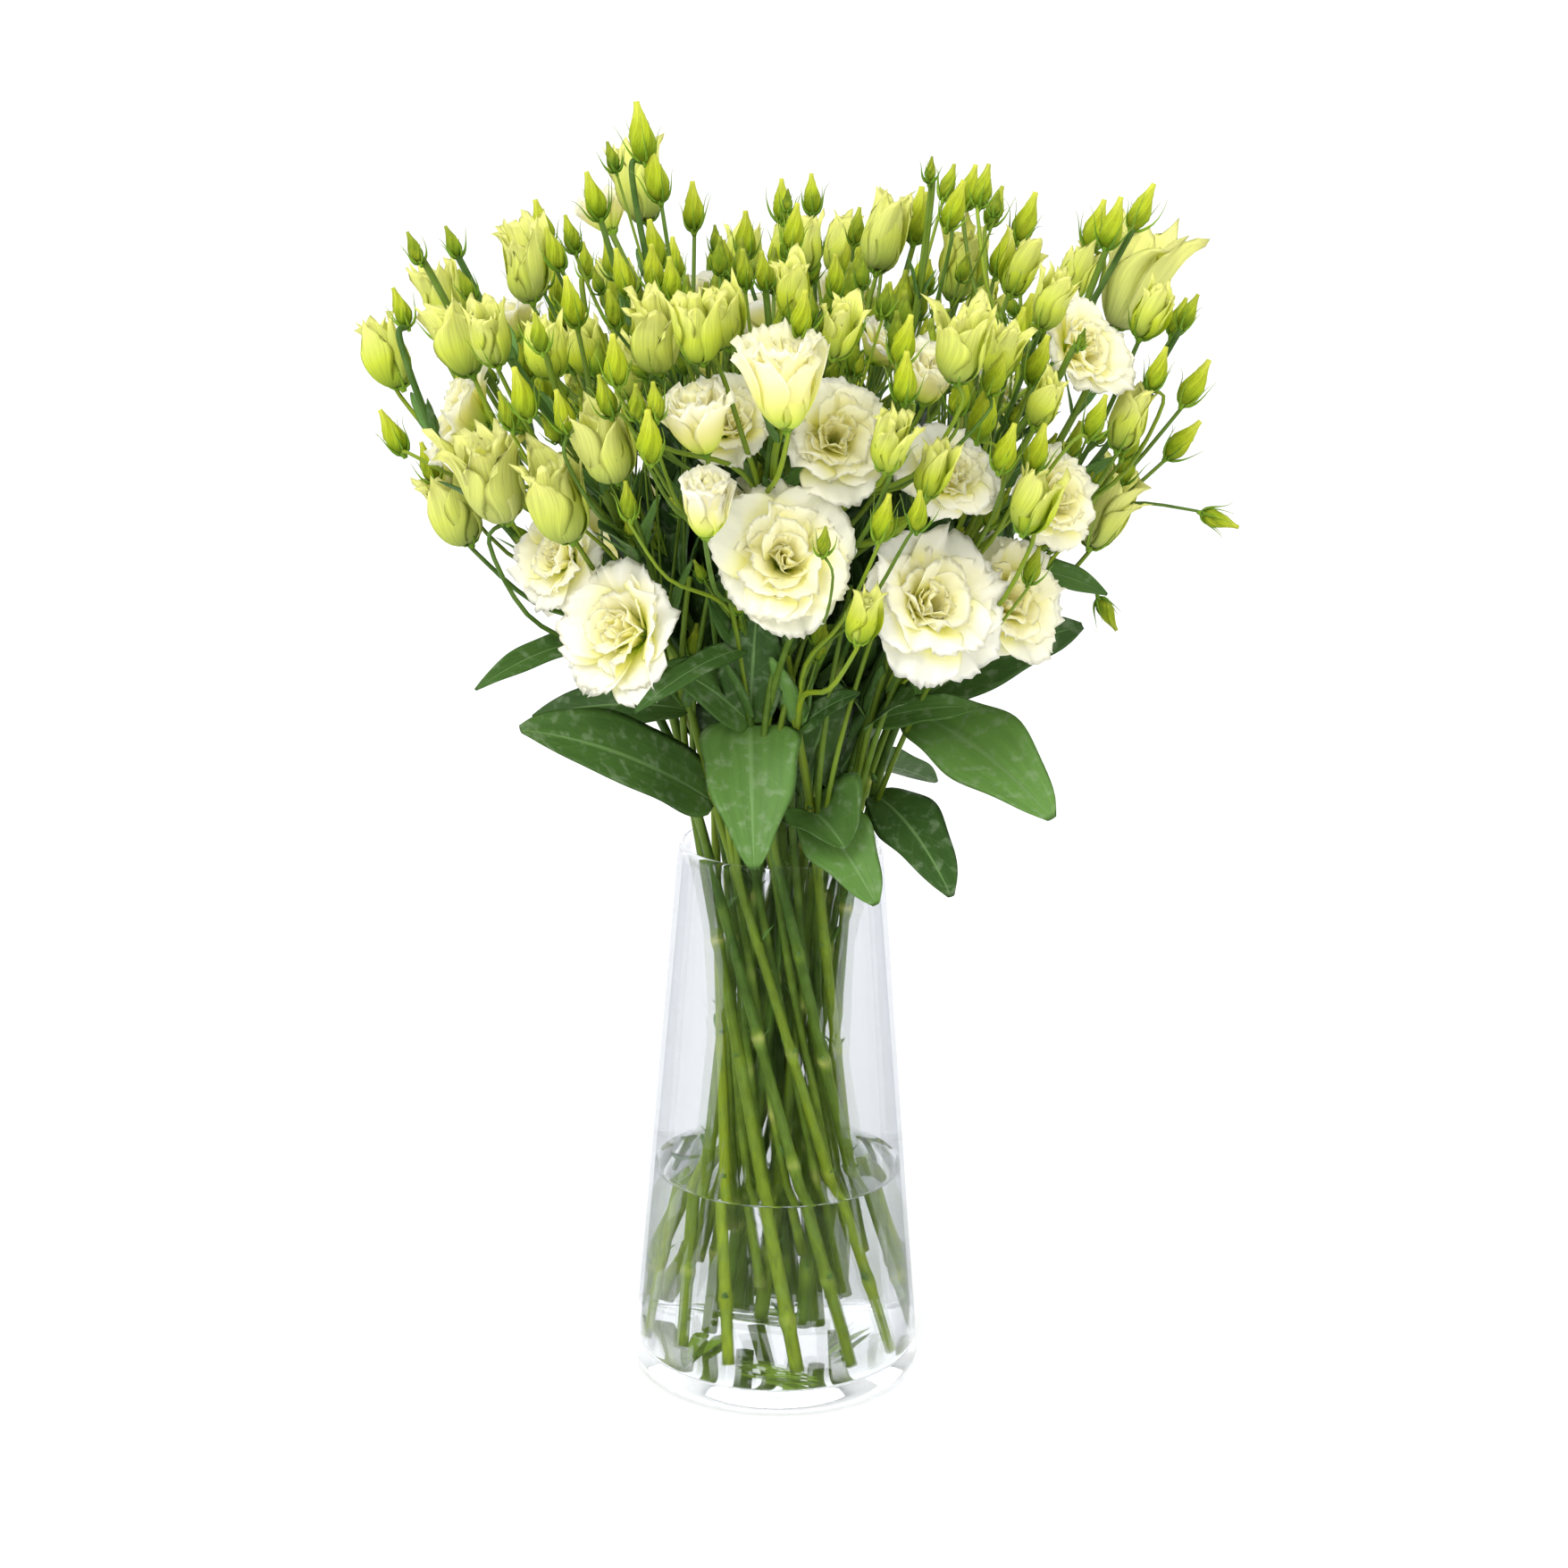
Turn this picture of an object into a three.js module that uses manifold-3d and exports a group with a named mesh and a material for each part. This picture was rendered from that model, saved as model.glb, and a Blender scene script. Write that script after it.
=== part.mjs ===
// A bouquet of cream double lisianthus in a tapered clear glass vase with water.
// Millimetres, +Z up, the origin at the centre of the vase's flat base, -Y the side that faces the viewer.
import * as THREE from "three";
import { mergeVertices } from "three/addons/utils/BufferGeometryUtils.js";
import Module from "manifold-3d";

const wasm = await Module();
wasm.setup();
const V = (x, y, z) => new THREE.Vector3(x, y, z);
const { clamp, degToRad, lerp } = THREE.MathUtils;
const UP = V(0, 0, 1);

// Vase and water
const VASE_HEIGHT = 300;
const FOOT_RADIUS = 79;
const RIM_RADIUS = 55;
const WALL = 3;
const HEEL_RADIUS = 9;
const FLOOR_HEIGHT = 12;
const FLOOR_FILLET = 7;
const WATER_HEIGHT = 115;
const CLEARANCE = 0.3;
const ROUND_STEPS = 24;

// Stems: rings of straight stems that lean round the waist, as a hand-held bunch does
const WAIST_HEIGHT = 200;
const STEM_RADIUS = 3.1;
const STEM_SIDES = 6;
const STEM_LIFT = 2;
const STEM_OVERRUN = 3;
const HOLE_CLEARANCE = 0.4;
const HOLE_OVERRUN = 10;
const NECK_HEIGHT = 330;
const LEADER_RADIUS = 1.9;
const LEADER_SIDES = 4;
const PEDICEL_RADIUS = 1.15;
const PEDICEL_SIDES = 3;
// Each ring: how many stems, waist radius, sideways slope, turn of the first stem, lean of its sprays, and
// how far the feet differ in height
const RINGS = [
  { count: 12, waist: 32, slope: -0.3, turn: 9, lean: 31, uneven: 10 },
  { count: 8, waist: 20.5, slope: 0.12, turn: 30, lean: 20, uneven: 34 },
  { count: 4, waist: 10, slope: -0.09, turn: 50, lean: 10, uneven: 34 },
  { count: 1, waist: 0, slope: 0, turn: 0, lean: 0, uneven: 34 },
];
const RING_JITTER = 0.18;

// Crown: heads fill a cone round the vase's axis, a little shallower from front to back
const CROWN_FOOT = V(0, 0, 230);
const CROWN_LEAN = degToRad(33);
const CROWN_REACH = 440;
const CROWN_DEPTH_SHARE = 0.86;
const HEAD_GAP = 1.2;
const SPREAD_PASSES = 80;
const FULL_SPIN = 6;
const BLOOM_SPIN = 5;
const BLADE = 0.8;
const BUD_SIDES = 4;
const PETALS = 5;
const CUP_HEIGHT_SHARE = 1.25;
const LARGE_BLOOM = 45;
const BUDS_PER_SOLID = 4;
const EDGE_REACH = 195;

// Shoots: how many points they have, where a pedicel leaves its main shoot, and how they bow clear
const LEADER_STEPS = 7;
const PEDICEL_STEPS = 4;
const PEDICEL_LENGTH = 112;
const FORK_DROP = 0.6;
const STUB = 5;
const ROUTE_PULL = 0.38;
const ROUTE_GAP = 0.9;
const NEIGHBOUR_REACH = 80;
const LEADER_PASSES = 60;
const PEDICEL_PASSES = 70;
const BOW_STEP = 5;
const BOW_SHARE = 0.1;
const SHARED_PUSH = 0.8;
const LONE_PUSH = 1.5;
const HEAD_PUSH = 0.9;

// The view in which the heads were read off, in pixels of a square picture
const VIEW = { y: -1590, z: 734, pitch: degToRad(14.2), focal: 3429, centre: 877.5 };

// Heads: pixel across, pixel down, depth (1 on the crown's front, 0 over the axis, -1 on its back), size
// in mm (a bloom's diameter, a cup's width, a bud's length), and how far a bloom faces outwards (0 up)
const BLOOMS = [
  [905, 620, 1, 63, 0.85], [1050, 646, 1, 68, 0.7], [1143, 663, 0.93, 60, 0.85],
  [1078, 556, 0.86, 46, 0.6], [1187, 553, 0.8, 50, 0.8], [924, 509, 0.82, 54, 0.7],
  [876, 446, 0.88, 50, 0.12], [783, 498, 0.95, 38, 0.15], [793, 559, 1.05, 36, 0.1],
  [818, 478, 0.72, 44, 0.6], [687, 695, 1, 66, 0.9], [513, 474, 0.4, 52, 0.7], [572, 363, -0.5, 36, 0.4],
  [677, 255, -0.6, 30, 0.3], [776, 332, -0.5, 40, 0.5], [864, 358, -0.1, 42, 0.5],
  [945, 328, -0.7, 34, 0.4], [990, 385, 0, 40, 0.5], [1225, 395, 0.4, 50, 0.7], [606, 612, 0.8, 46, 0.9],
  [822, 575, 0.7, 30, 0.6], [1039, 428, 0.6, 34, 0.2], [1122, 430, -0.1, 34, 0.5],
];
const CUPS = [
  [711, 226, -0.3, 28], [585, 305, 0, 27], [441, 414, 0.2, 23], [494, 343, -0.2, 23], [512, 395, 0.4, 25],
  [548, 385, 0.7, 20], [732, 382, 0.7, 27], [779, 374, 0.8, 23], [808, 362, 0.6, 20], [607, 405, 0.8, 20],
  [871, 283, -0.6, 17], [899, 280, 0.2, 18], [885, 330, 0.7, 20], [922, 374, 0.8, 20],
  [984, 268, -0.3, 27], [1071, 300, -0.4, 27], [1068, 397, 0.8, 25], [1138, 302, 0, 20],
  [1206, 312, -0.2, 20], [1256, 325, -0.3, 38], [1283, 350, 0.2, 19], [1166, 446, 0.7, 18],
  [997, 500, 0.95, 22], [1138, 560, 1, 22], [1253, 456, 0.5, 22], [943, 668, 1.12, 18],
  [1236, 575, 0.8, 28], [563, 550, 0.7, 36], [626, 565, 0.95, 31], [676, 512, 0.9, 28],
  [1036, 530, 1, 18], [700, 420, 0.4, 20], [1120, 395, 0.6, 20], [655, 395, 0.1, 20],
  [1180, 350, 0.4, 19],
];
const BUDS = [
  [716, 162, -0.1, 24], [728, 196, 0, 22], [681, 180, 0.1, 12], [753, 232, -0.3, 20], [461, 284, 0, 13],
  [504, 277, 0.2, 13], [520, 325, 0.3, 13], [447, 352, 0.3, 16], [604, 258, -0.3, 20],
  [636, 268, -0.4, 16], [618, 285, 0.4, 17], [601, 379, 0.9, 15], [638, 345, 0.6, 20],
  [684, 350, 0.6, 15], [695, 312, 0, 20], [728, 305, 0.5, 18], [749, 318, 0.6, 17], [728, 275, -0.2, 21],
  [681, 290, -0.5, 18], [795, 292, -0.5, 18], [830, 270, -0.4, 20], [830, 305, 0.5, 15],
  [852, 306, 0.6, 15], [687, 410, 0.9, 20], [588, 440, 0.9, 21], [566, 466, 0.9, 15], [677, 449, 0.9, 17],
  [712, 455, 0.95, 15], [732, 458, 1, 15], [631, 468, 0.95, 18], [540, 520, 0.6, 16], [741, 490, 1, 22],
  [701, 560, 1, 15], [878, 226, -0.3, 9], [905, 221, -0.5, 17], [885, 258, 0.4, 18], [955, 256, -0.6, 16],
  [1022, 245, -0.5, 24], [1037, 190, -0.2, 10], [1057, 205, -0.5, 15], [1080, 212, -0.6, 19],
  [1096, 210, -0.4, 18], [1111, 228, 0.1, 10], [1064, 232, 0.3, 20], [1139, 244, -0.5, 22],
  [1118, 285, -0.3, 20], [1222, 253, -0.3, 21], [1241, 251, 0.2, 21], [1273, 232, 0, 20],
  [1327, 347, 0, 15], [1208, 377, 0.6, 8], [1287, 411, 0.5, 18], [1334, 428, 0.2, 21],
  [1225, 467, 0.8, 18], [1320, 491, 0.3, 20], [1260, 519, 0.6, 17], [1264, 490, 0.5, 17],
  [1362, 576, 0.3, 16], [1159, 505, 0.9, 20], [1028, 570, 1.1, 17], [987, 583, 1.05, 19],
  [1120, 502, 0.9, 20], [1096, 467, 0.8, 24], [1075, 439, 0.8, 18], [1110, 418, 0.8, 18],
  [1159, 409, 0.6, 20], [1138, 370, 0.5, 18], [1011, 425, 0.9, 20], [1018, 386, 0.8, 20],
  [987, 337, 0.5, 12], [950, 362, 0.6, 17], [932, 312, 0.4, 17], [903, 360, 0.8, 18], [922, 607, 1.2, 12],
  [1156, 633, 1.15, 15], [1239, 681, 0.9, 15], [655, 300, -0.6, 16],
];
const BUD_LENGTH_SHARE = 1.15;
const FAR_BLOOM_DEPTH = 0.82;
const FAR_HEAD_DEPTH = 0.3;
const FAR_BUD = 19;
const FAR_SHIFT = 20;
const FAR_RISE = 24;
const SIGHT_LIMIT = 1.1;

// Leaves: pixel across and down of the base, the same of the tip, how far the tip stands out, and width in mm
const LEAVES = [
  [792, 890, 584, 820, 118, 42], [792, 842, 848, 974, 106, 42], [905, 880, 950, 950, 76, 44],
  [915, 935, 985, 1012, 82, 33], [1000, 866, 1069, 1002, 86, 30], [1046, 800, 1181, 914, 96, 38],
  [1046, 790, 1213, 697, -12, 34], [1010, 850, 1098, 790, 60, 18], [650, 750, 534, 776, 85, 17],
  [745, 850, 598, 806, 30, 26], [792, 850, 745, 745, 88, 28], [812, 770, 790, 655, 92, 23],
  [842, 780, 850, 668, 96, 33], [735, 660, 672, 595, 120, 22], [800, 755, 712, 800, 140, 14],
  [1180, 640, 1240, 662, 32, 18], [985, 850, 1022, 784, 92, 27], [905, 860, 965, 775, 88, 15],
];
const BEHIND_AXIS = 15;
const FRONT_WEIGHT = 0.25;
const LEAF_ARCH = 0.16;
const LEAF_FOLD = 0.2;

// Leaves on the far side: least length and width, how much more either may be, and how much the tips differ
const BACK_LEAVES = 10;
const BACK_LEAF = { length: 70, longer: 25, width: 24, wider: 18, rise: 50 };

const rows = (kind, list) =>
  list.map(([across, down, depth, size, facing = 0]) => ({ kind, across, down, depth, size, facing }));

// An even spread of values from 0 to 1 that never repeats: the seeded scatter of the whole bouquet
const SCATTER_STEPS = [0.6180339887, 0.7548776662, 0.5698402910, 0.8191725134];
const scatter = (n, kind) => ((n + 1) * SCATTER_STEPS[kind]) % 1;

// The point that is seen at a pixel and lies at a depth y
function seenAt(across, down, y) {
  const sideways = (across - VIEW.centre) / VIEW.focal;
  const upwards = (VIEW.centre - down) / VIEW.focal;
  const ray = V(
    sideways,
    Math.cos(VIEW.pitch) + upwards * Math.sin(VIEW.pitch),
    upwards * Math.cos(VIEW.pitch) - Math.sin(VIEW.pitch),
  );
  return V(0, VIEW.y, VIEW.z).addScaledVector(ray, (y - VIEW.y) / ray.y);
}

// The crown's half-width at a height: a cone under a round top
function crownRadius(z) {
  const rise = z - CROWN_FOOT.z;
  const top = Math.sqrt(Math.max(CROWN_REACH ** 2 - rise ** 2, 0));
  return Math.min(rise * Math.tan(CROWN_LEAN), top);
}

// Where a head's centre lies: its depth follows the crown's half-width at its own height
function headPlace({ across, down, depth }) {
  let place = seenAt(across, down, 0);
  for (let pass = 0; pass < 6; pass++) {
    const reach = Math.sqrt(Math.max(crownRadius(place.z) ** 2 - place.x ** 2, 0));
    place = seenAt(across, down, -depth * CROWN_DEPTH_SHARE * reach);
  }
  return place;
}

// Shares of a head's size: the radius of the room it takes, and how far its base lies below its centre
const SPHERE = { bloom: 0.54, cup: 0.72, bud: 0.45 };
const SEAT = { bloom: 0.3, cup: 0.6, bud: 0.5 };

// A bloom faces outwards as far as its row says, and any other head leans out more the further out it is
const AXIS_SCATTER = 0.24;
const LEAN_PER_MM = 0.00225;
const FACING_DROP = 0.75;
const FACING_LEAST = 0.15;

function headAxis({ kind, place, facing }, n) {
  const out = V(place.x, place.y, 0);
  const axis = V(scatter(n, 1) - 0.5, scatter(n, 2) - 0.5, 0).multiplyScalar(AXIS_SCATTER);
  if (kind !== "bloom") return axis.add(UP).addScaledVector(out, LEAN_PER_MM).normalize();
  axis.addScaledVector(UP, 1 - FACING_DROP * facing).addScaledVector(out.normalize(), FACING_LEAST + facing);
  return axis.normalize();
}

// All heads, with the low front ones repeated on the crown's far side
function placeHeads() {
  const read = [...rows("bloom", BLOOMS), ...rows("cup", CUPS), ...rows("bud", BUDS)];
  const heads = read.map((head) => ({ ...head, place: headPlace(head) }));
  const far = heads.filter(({ kind, depth }) => {
    if (kind === "bloom") return depth >= FAR_BLOOM_DEPTH;
    return depth >= FAR_HEAD_DEPTH && depth <= SIGHT_LIMIT;
  });
  far.forEach((head, n) => {
    const closed = head.kind === "cup" && n % 2;
    const [kind, size] = closed ? ["bud", FAR_BUD] : [head.kind, head.size];
    const turned = V(-head.place.x, -head.place.y, head.place.z);
    turned.x += FAR_SHIFT * (scatter(n, 0) - 0.5);
    turned.z += FAR_RISE * (scatter(n, 1) - 0.3);
    heads.push({ ...head, kind, size, far: true, place: turned });
  });
  heads.forEach((head) => (head.radius = head.size * SPHERE[head.kind]));
  for (let pass = 0; pass < SPREAD_PASSES; pass++) spreadHeads(heads);
  heads.forEach((head, n) => {
    head.axis = headAxis(head, n);
    head.base = head.place.clone().addScaledVector(head.axis, -head.size * SEAT[head.kind]);
  });
  return heads;
}

// Heads that crowd each other move apart, mostly along the line of sight
const GIVE = V(0.45, 1.4, 0.45);

function spreadHeads(heads) {
  const moves = heads.map(() => V(0, 0, 0));
  heads.forEach((one, i) => {
    for (let j = i + 1; j < heads.length; j++) {
      const between = heads[j].place.clone().sub(one.place);
      const short = one.radius + heads[j].radius + HEAD_GAP - between.length();
      if (short <= 0) continue;
      const push = between.normalize().multiplyScalar(short / 2).multiply(GIVE);
      moves[i].sub(push);
      moves[j].add(push);
    }
  });
  heads.forEach((head, i) => head.place.add(moves[i]));
}

// A polyline as a curve whose steps are exactly its own points
class Route extends THREE.Curve {
  constructor(points) {
    super();
    this.points = points;
  }
  getPoint(t, target = new THREE.Vector3()) {
    const along = clamp(t, 0, 1) * (this.points.length - 1);
    const n = Math.min(Math.floor(along), this.points.length - 2);
    return target.lerpVectors(this.points[n], this.points[n + 1], along - n);
  }
  getPointAt(t, target) {
    return this.getPoint(t, target);
  }
  getTangentAt(t, target = new THREE.Vector3()) {
    const step = 0.5 / (this.points.length - 1);
    return target.copy(this.getPoint(t + step)).sub(this.getPoint(t - step)).normalize();
  }
}

// A route to a head: a cubic curve that leaves along a direction, and a straight stub under the head
function routeTo(head, start, leave, steps) {
  const end = head.base.clone().addScaledVector(head.axis, -STUB);
  const pull = start.distanceTo(end) * ROUTE_PULL;
  const first = start.clone().addScaledVector(leave, pull);
  const last = end.clone().addScaledVector(head.axis, -pull);
  return [...new THREE.CubicBezierCurve3(start, first, last, end).getPoints(steps - 1), head.base];
}

// Shares along two segments of the points where they come closest
function closest(a, b, c, d) {
  const u = b.clone().sub(a);
  const v = d.clone().sub(c);
  const w = a.clone().sub(c);
  const uu = u.dot(u);
  const uv = u.dot(v);
  const vv = v.dot(v);
  const flat = Math.max(uu * vv - uv * uv, 1e-6);
  let s = clamp((uv * v.dot(w) - vv * u.dot(w)) / flat, 0, 1);
  const t = clamp((uv * s + v.dot(w)) / vv, 0, 1);
  s = clamp((uv * t - u.dot(w)) / uu, 0, 1);
  return [s, t];
}

// Pairs of segments of different sprays that lie near each other
function neighbours(segments) {
  const near = [];
  segments.forEach((one, i) => {
    const middle = one.band.points[one.k].clone().add(one.band.points[one.k + 1]).multiplyScalar(0.5);
    for (let j = i + 1; j < segments.length; j++) {
      const two = segments[j];
      if (two.band.spray === one.band.spray || !(one.free || two.free)) continue;
      const other = two.band.points[two.k].clone().add(two.band.points[two.k + 1]).multiplyScalar(0.5);
      if (middle.distanceTo(other) < NEIGHBOUR_REACH) near.push([one, two]);
    }
  });
  return near;
}

// Each bow moves by the sum of its pushes, shares a little with its neighbours, and is nothing at the ends
function smoothBow({ points, head, rest, bow, move }) {
  const last = points.length - (head.kind === "bloom" ? 2 : 1);
  for (let k = 1; k < last; k++) bow[k].add(move[k].clampLength(0, BOW_STEP));
  const even = bow.map((here, k) => {
    if (k === 0 || k >= last) return V(0, 0, 0);
    const sides = bow[k - 1].clone().add(bow[k + 1]);
    return here.clone().multiplyScalar(1 - 2 * BOW_SHARE).addScaledVector(sides, BOW_SHARE);
  });
  even.forEach((here, k) => {
    bow[k] = here;
    points[k].copy(rest[k]).add(here);
  });
}

// Bands bow clear of heads and of each other, between a fixed start and a fixed head
function bowClear(bands, fixed, heads, passes) {
  const all = [...bands, ...fixed];
  const segments = [];
  all.forEach((band, n) => {
    for (let k = 0; k + 1 < band.points.length; k++) segments.push({ band, k, free: n < bands.length });
  });
  bands.forEach((band) => {
    band.rest = band.points.map((point) => point.clone());
    band.bow = band.points.map(() => V(0, 0, 0));
  });
  const near = neighbours(segments);
  const shove = (segment, share, push) => {
    if (!segment.free) return;
    segment.band.move[segment.k].addScaledVector(push, 1 - share);
    segment.band.move[segment.k + 1].addScaledVector(push, share);
  };
  for (let pass = 0; pass < passes; pass++) {
    bands.forEach((band) => (band.move = band.points.map(() => V(0, 0, 0))));
    near.forEach(([one, two]) => {
      const [a, b, c, d] = [one, two].flatMap((x) => [x.band.points[x.k], x.band.points[x.k + 1]]);
      const [s, t] = closest(a, b, c, d);
      const gap = V(0, 0, 0).lerpVectors(a, b, s).sub(V(0, 0, 0).lerpVectors(c, d, t));
      const short = one.band.radius + two.band.radius + ROUTE_GAP - gap.length();
      if (short <= 0) return;
      gap.normalize().multiplyScalar(short * (one.free && two.free ? SHARED_PUSH : LONE_PUSH));
      shove(one, s, gap);
      shove(two, t, gap.negate());
    });
    segments.forEach((one) => {
      if (!one.free) return;
      const [a, b] = [one.band.points[one.k], one.band.points[one.k + 1]];
      heads.forEach((head) => {
        if (head === one.band.head) return;
        const [s] = closest(a, b, head.place, head.place.clone().add(V(0, 0, 1e-3)));
        const gap = V(0, 0, 0).lerpVectors(a, b, s).sub(head.place);
        const short = head.radius + one.band.radius + ROUTE_GAP - gap.length();
        if (short > 0) shove(one, s, gap.normalize().multiplyScalar(short * HEAD_PUSH));
      });
    });
    bands.forEach(smoothBow);
  }
}

// Stems: each a straight line that leans round the vase's axis
function placeStems() {
  return RINGS.flatMap(({ count, waist, slope, turn, lean, uneven }, ring) =>
    Array.from({ length: count }, (_, n) => {
      const jitter = count > 1 ? (scatter(n, ring) - 0.5) * RING_JITTER : 0;
      const angle = degToRad(turn) + ((n + jitter) / count) * 2 * Math.PI;
      const at = (z) => V(waist, slope * (z - WAIST_HEIGHT), z).applyAxisAngle(UP, angle);
      const neck = at(NECK_HEIGHT);
      const lift = STEM_LIFT + Math.abs(slope) * STEM_RADIUS + uneven * scatter(n, 3);
      const foot = at(FLOOR_HEIGHT + lift);
      const along = neck.clone().sub(foot).normalize();
      const round = Math.atan2(neck.y, neck.x);
      const tilt = degToRad(lean);
      const aim = V(Math.sin(tilt) * Math.cos(round), Math.sin(tilt) * Math.sin(round), Math.cos(tilt));
      aim.y *= CROWN_DEPTH_SHARE;
      return { foot, neck, along, aim: aim.normalize(), heads: [] };
    }),
  );
}

// Each spray takes the head nearest to its direction, and then each other head joins its nearest spray
function shareHeads(sprays, heads) {
  heads.forEach((head) => {
    head.way = head.place.clone().sub(CROWN_FOOT);
    head.reach = head.way.length();
    head.way.normalize();
  });
  const left = new Set(heads);
  sprays.forEach((spray) => {
    const [best] = [...left].sort((a, b) => b.way.dot(spray.aim) - a.way.dot(spray.aim));
    spray.heads.push(best);
    left.delete(best);
  });
  left.forEach((head) => {
    const best = sprays.reduce((a, b) => (head.way.dot(b.aim) > head.way.dot(a.aim) ? b : a));
    best.heads.push(head);
  });
}

// Leaders run from the neck to each spray's furthest head, and pedicels from the leaders to the others
function placeRoutes(sprays, heads) {
  sprays.forEach((spray) => {
    spray.heads.sort((a, b) => b.reach - a.reach);
    const [top] = spray.heads;
    const points = routeTo(top, spray.neck, spray.along, LEADER_STEPS);
    spray.leader = { spray, head: top, radius: LEADER_RADIUS, points };
  });
  const leaders = sprays.map((spray) => spray.leader);
  bowClear(leaders, [], heads, LEADER_PASSES);
  sprays.forEach((spray) => {
    const { points } = spray.leader;
    spray.pedicels = spray.heads.slice(1).map((head, n) => {
      const wanted = PEDICEL_LENGTH * (0.75 + 0.5 * scatter(n, 0));
      let from = points.length - 3;
      while (from > 1 && points[from].distanceTo(head.base) < wanted) from--;
      while (from > 1 && points[from].clone().sub(head.base).dot(head.axis) > -FORK_DROP * wanted) from--;
      const leave = points[from + 1].clone().sub(points[from - 1]).normalize();
      const route = routeTo(head, points[from], leave, PEDICEL_STEPS);
      return { spray, head, radius: PEDICEL_RADIUS, points: route };
    });
  });
  bowClear(sprays.flatMap((spray) => spray.pedicels), leaders, heads, PEDICEL_PASSES);
}

// Leaves: each grows from the front stem nearest to its base
function placeLeaves(sprays) {
  const outer = sprays.slice(0, RINGS[0].count);
  sprays.forEach((spray) => (spray.leaves = []));
  LEAVES.forEach(([across, down, tipAcross, tipDown, out, width]) => {
    let best = null;
    outer.forEach((spray) => {
      const line = [spray.neck, ...spray.leader.points.slice(1, 6)];
      line.forEach((point, k) => {
        if (point.y > BEHIND_AXIS) return;
        const seen = seenAt(across, down, point.y);
        const miss = seen.distanceTo(point) + FRONT_WEIGHT * point.y;
        if (!best || miss < best.miss) best = { miss, spray, point, k };
      });
    });
    const tip = seenAt(tipAcross, tipDown, -out);
    best.spray.leaves.push({ base: best.point, tip, width });
  });
  for (let n = 0; n < BACK_LEAVES; n++) {
    const spray = outer[(n * 5) % outer.length];
    const base = spray.leader.points[n % 3];
    if (base.y < 5) continue;
    const way = V(base.x, base.y, 0).normalize();
    const tip = base.clone().addScaledVector(way, BACK_LEAF.length + BACK_LEAF.longer * scatter(n, 0));
    tip.z += BACK_LEAF.rise * (scatter(n, 1) - 0.45);
    spray.leaves.push({ base, tip, width: BACK_LEAF.width + BACK_LEAF.wider * scatter(n, 2) });
  }
}

const heads = placeHeads();
const sprays = placeStems();
shareHeads(sprays, heads);
placeRoutes(sprays, heads);
placeLeaves(sprays);

// Solids

// The closed mesh of a geometry as a solid that can be joined and cut
function solid(geometry) {
  const bare = new THREE.BufferGeometry().setAttribute("position", geometry.getAttribute("position"));
  bare.setIndex(geometry.index);
  const merged = mergeVertices(bare, 1e-4);
  return new wasm.Manifold(
    new wasm.Mesh({
      numProp: 3,
      vertProperties: merged.attributes.position.array,
      triVerts: new Uint32Array(merged.index.array),
    }),
  );
}

// The pieces as one body, with any hollow that they seal filled and any loose scrap dropped
function joined(solids) {
  const bodies = wasm.Manifold.union(solids).decompose();
  return bodies.reduce((a, b) => (b.volume() > a.volume() ? b : a));
}

// A tube of a few sides along a list of points
function tube(points, radius, sides) {
  const corners = Array.from({ length: sides }, (_, n) => {
    const angle = (n / sides) * 2 * Math.PI;
    return new THREE.Vector2(radius * Math.cos(angle), radius * Math.sin(angle));
  });
  const extrudePath = new Route(points);
  const options = { steps: points.length - 1, extrudePath, bevelEnabled: false };
  return solid(new THREE.ExtrudeGeometry(new THREE.Shape(corners), options));
}

// A sheet of triangles made into a blade of even thickness, split alike on both faces
function blade(points, triangles, thickness = BLADE) {
  const normals = points.map(() => V(0, 0, 0));
  const edges = new Map();
  triangles.forEach((corners) => {
    const [a, b, c] = corners.map((n) => points[n]);
    const normal = b.clone().sub(a).cross(c.clone().sub(a)).normalize();
    corners.forEach((n) => normals[n].add(normal));
    corners.forEach((n, k) => edges.set(n + " " + corners[(k + 1) % 3], [n, corners[(k + 1) % 3]]));
  });
  const half = thickness / 2;
  const front = points.map((point, n) => point.clone().addScaledVector(normals[n].normalize(), half));
  const back = points.map((point, n) => point.clone().addScaledVector(normals[n], -half));
  const count = points.length;
  const index = triangles.flatMap(([a, b, c]) => [a, b, c, count + a, count + c, count + b]);
  edges.forEach(([a, b]) => {
    if (!edges.has(b + " " + a)) index.push(b, a, count + a, b, count + a, count + b);
  });
  const geometry = new THREE.BufferGeometry().setFromPoints([...front, ...back]);
  geometry.setIndex(index);
  return solid(geometry);
}

// The turn that takes +Z to a head's axis, with the head's own spin about it
function stance(axis, base, spin) {
  const turn = new THREE.Quaternion().setFromUnitVectors(UP, axis);
  turn.multiply(new THREE.Quaternion().setFromAxisAngle(UP, spin));
  return new THREE.Matrix4().compose(base, turn, V(1, 1, 1));
}

const placed = (shape, matrix) => shape.transform(matrix.elements);

// A bud: a twisted teardrop with a pointed tip
const BUD_ROWS = [[0, -0.06], [0.25, 0.22], [0.2, 0.55], [0, 1]];
const BUD_TWIST = 1.2;

function bud(length) {
  const points = BUD_ROWS.map(([out, up]) => new THREE.Vector2(out * length, up * length));
  const geometry = new THREE.LatheGeometry(points, BUD_SIDES).rotateX(Math.PI / 2);
  return solid(twisted(geometry, BUD_TWIST / length));
}

// A shape wrung about its axis, by a rate of turn in radians a millimetre
function twisted(geometry, rate) {
  const at = geometry.getAttribute("position");
  for (let n = 0; n < at.count; n++) {
    const turned = V(at.getX(n), at.getY(n), 0).applyAxisAngle(UP, rate * at.getZ(n));
    at.setXY(n, turned.x, turned.y);
  }
  return geometry;
}

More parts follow.
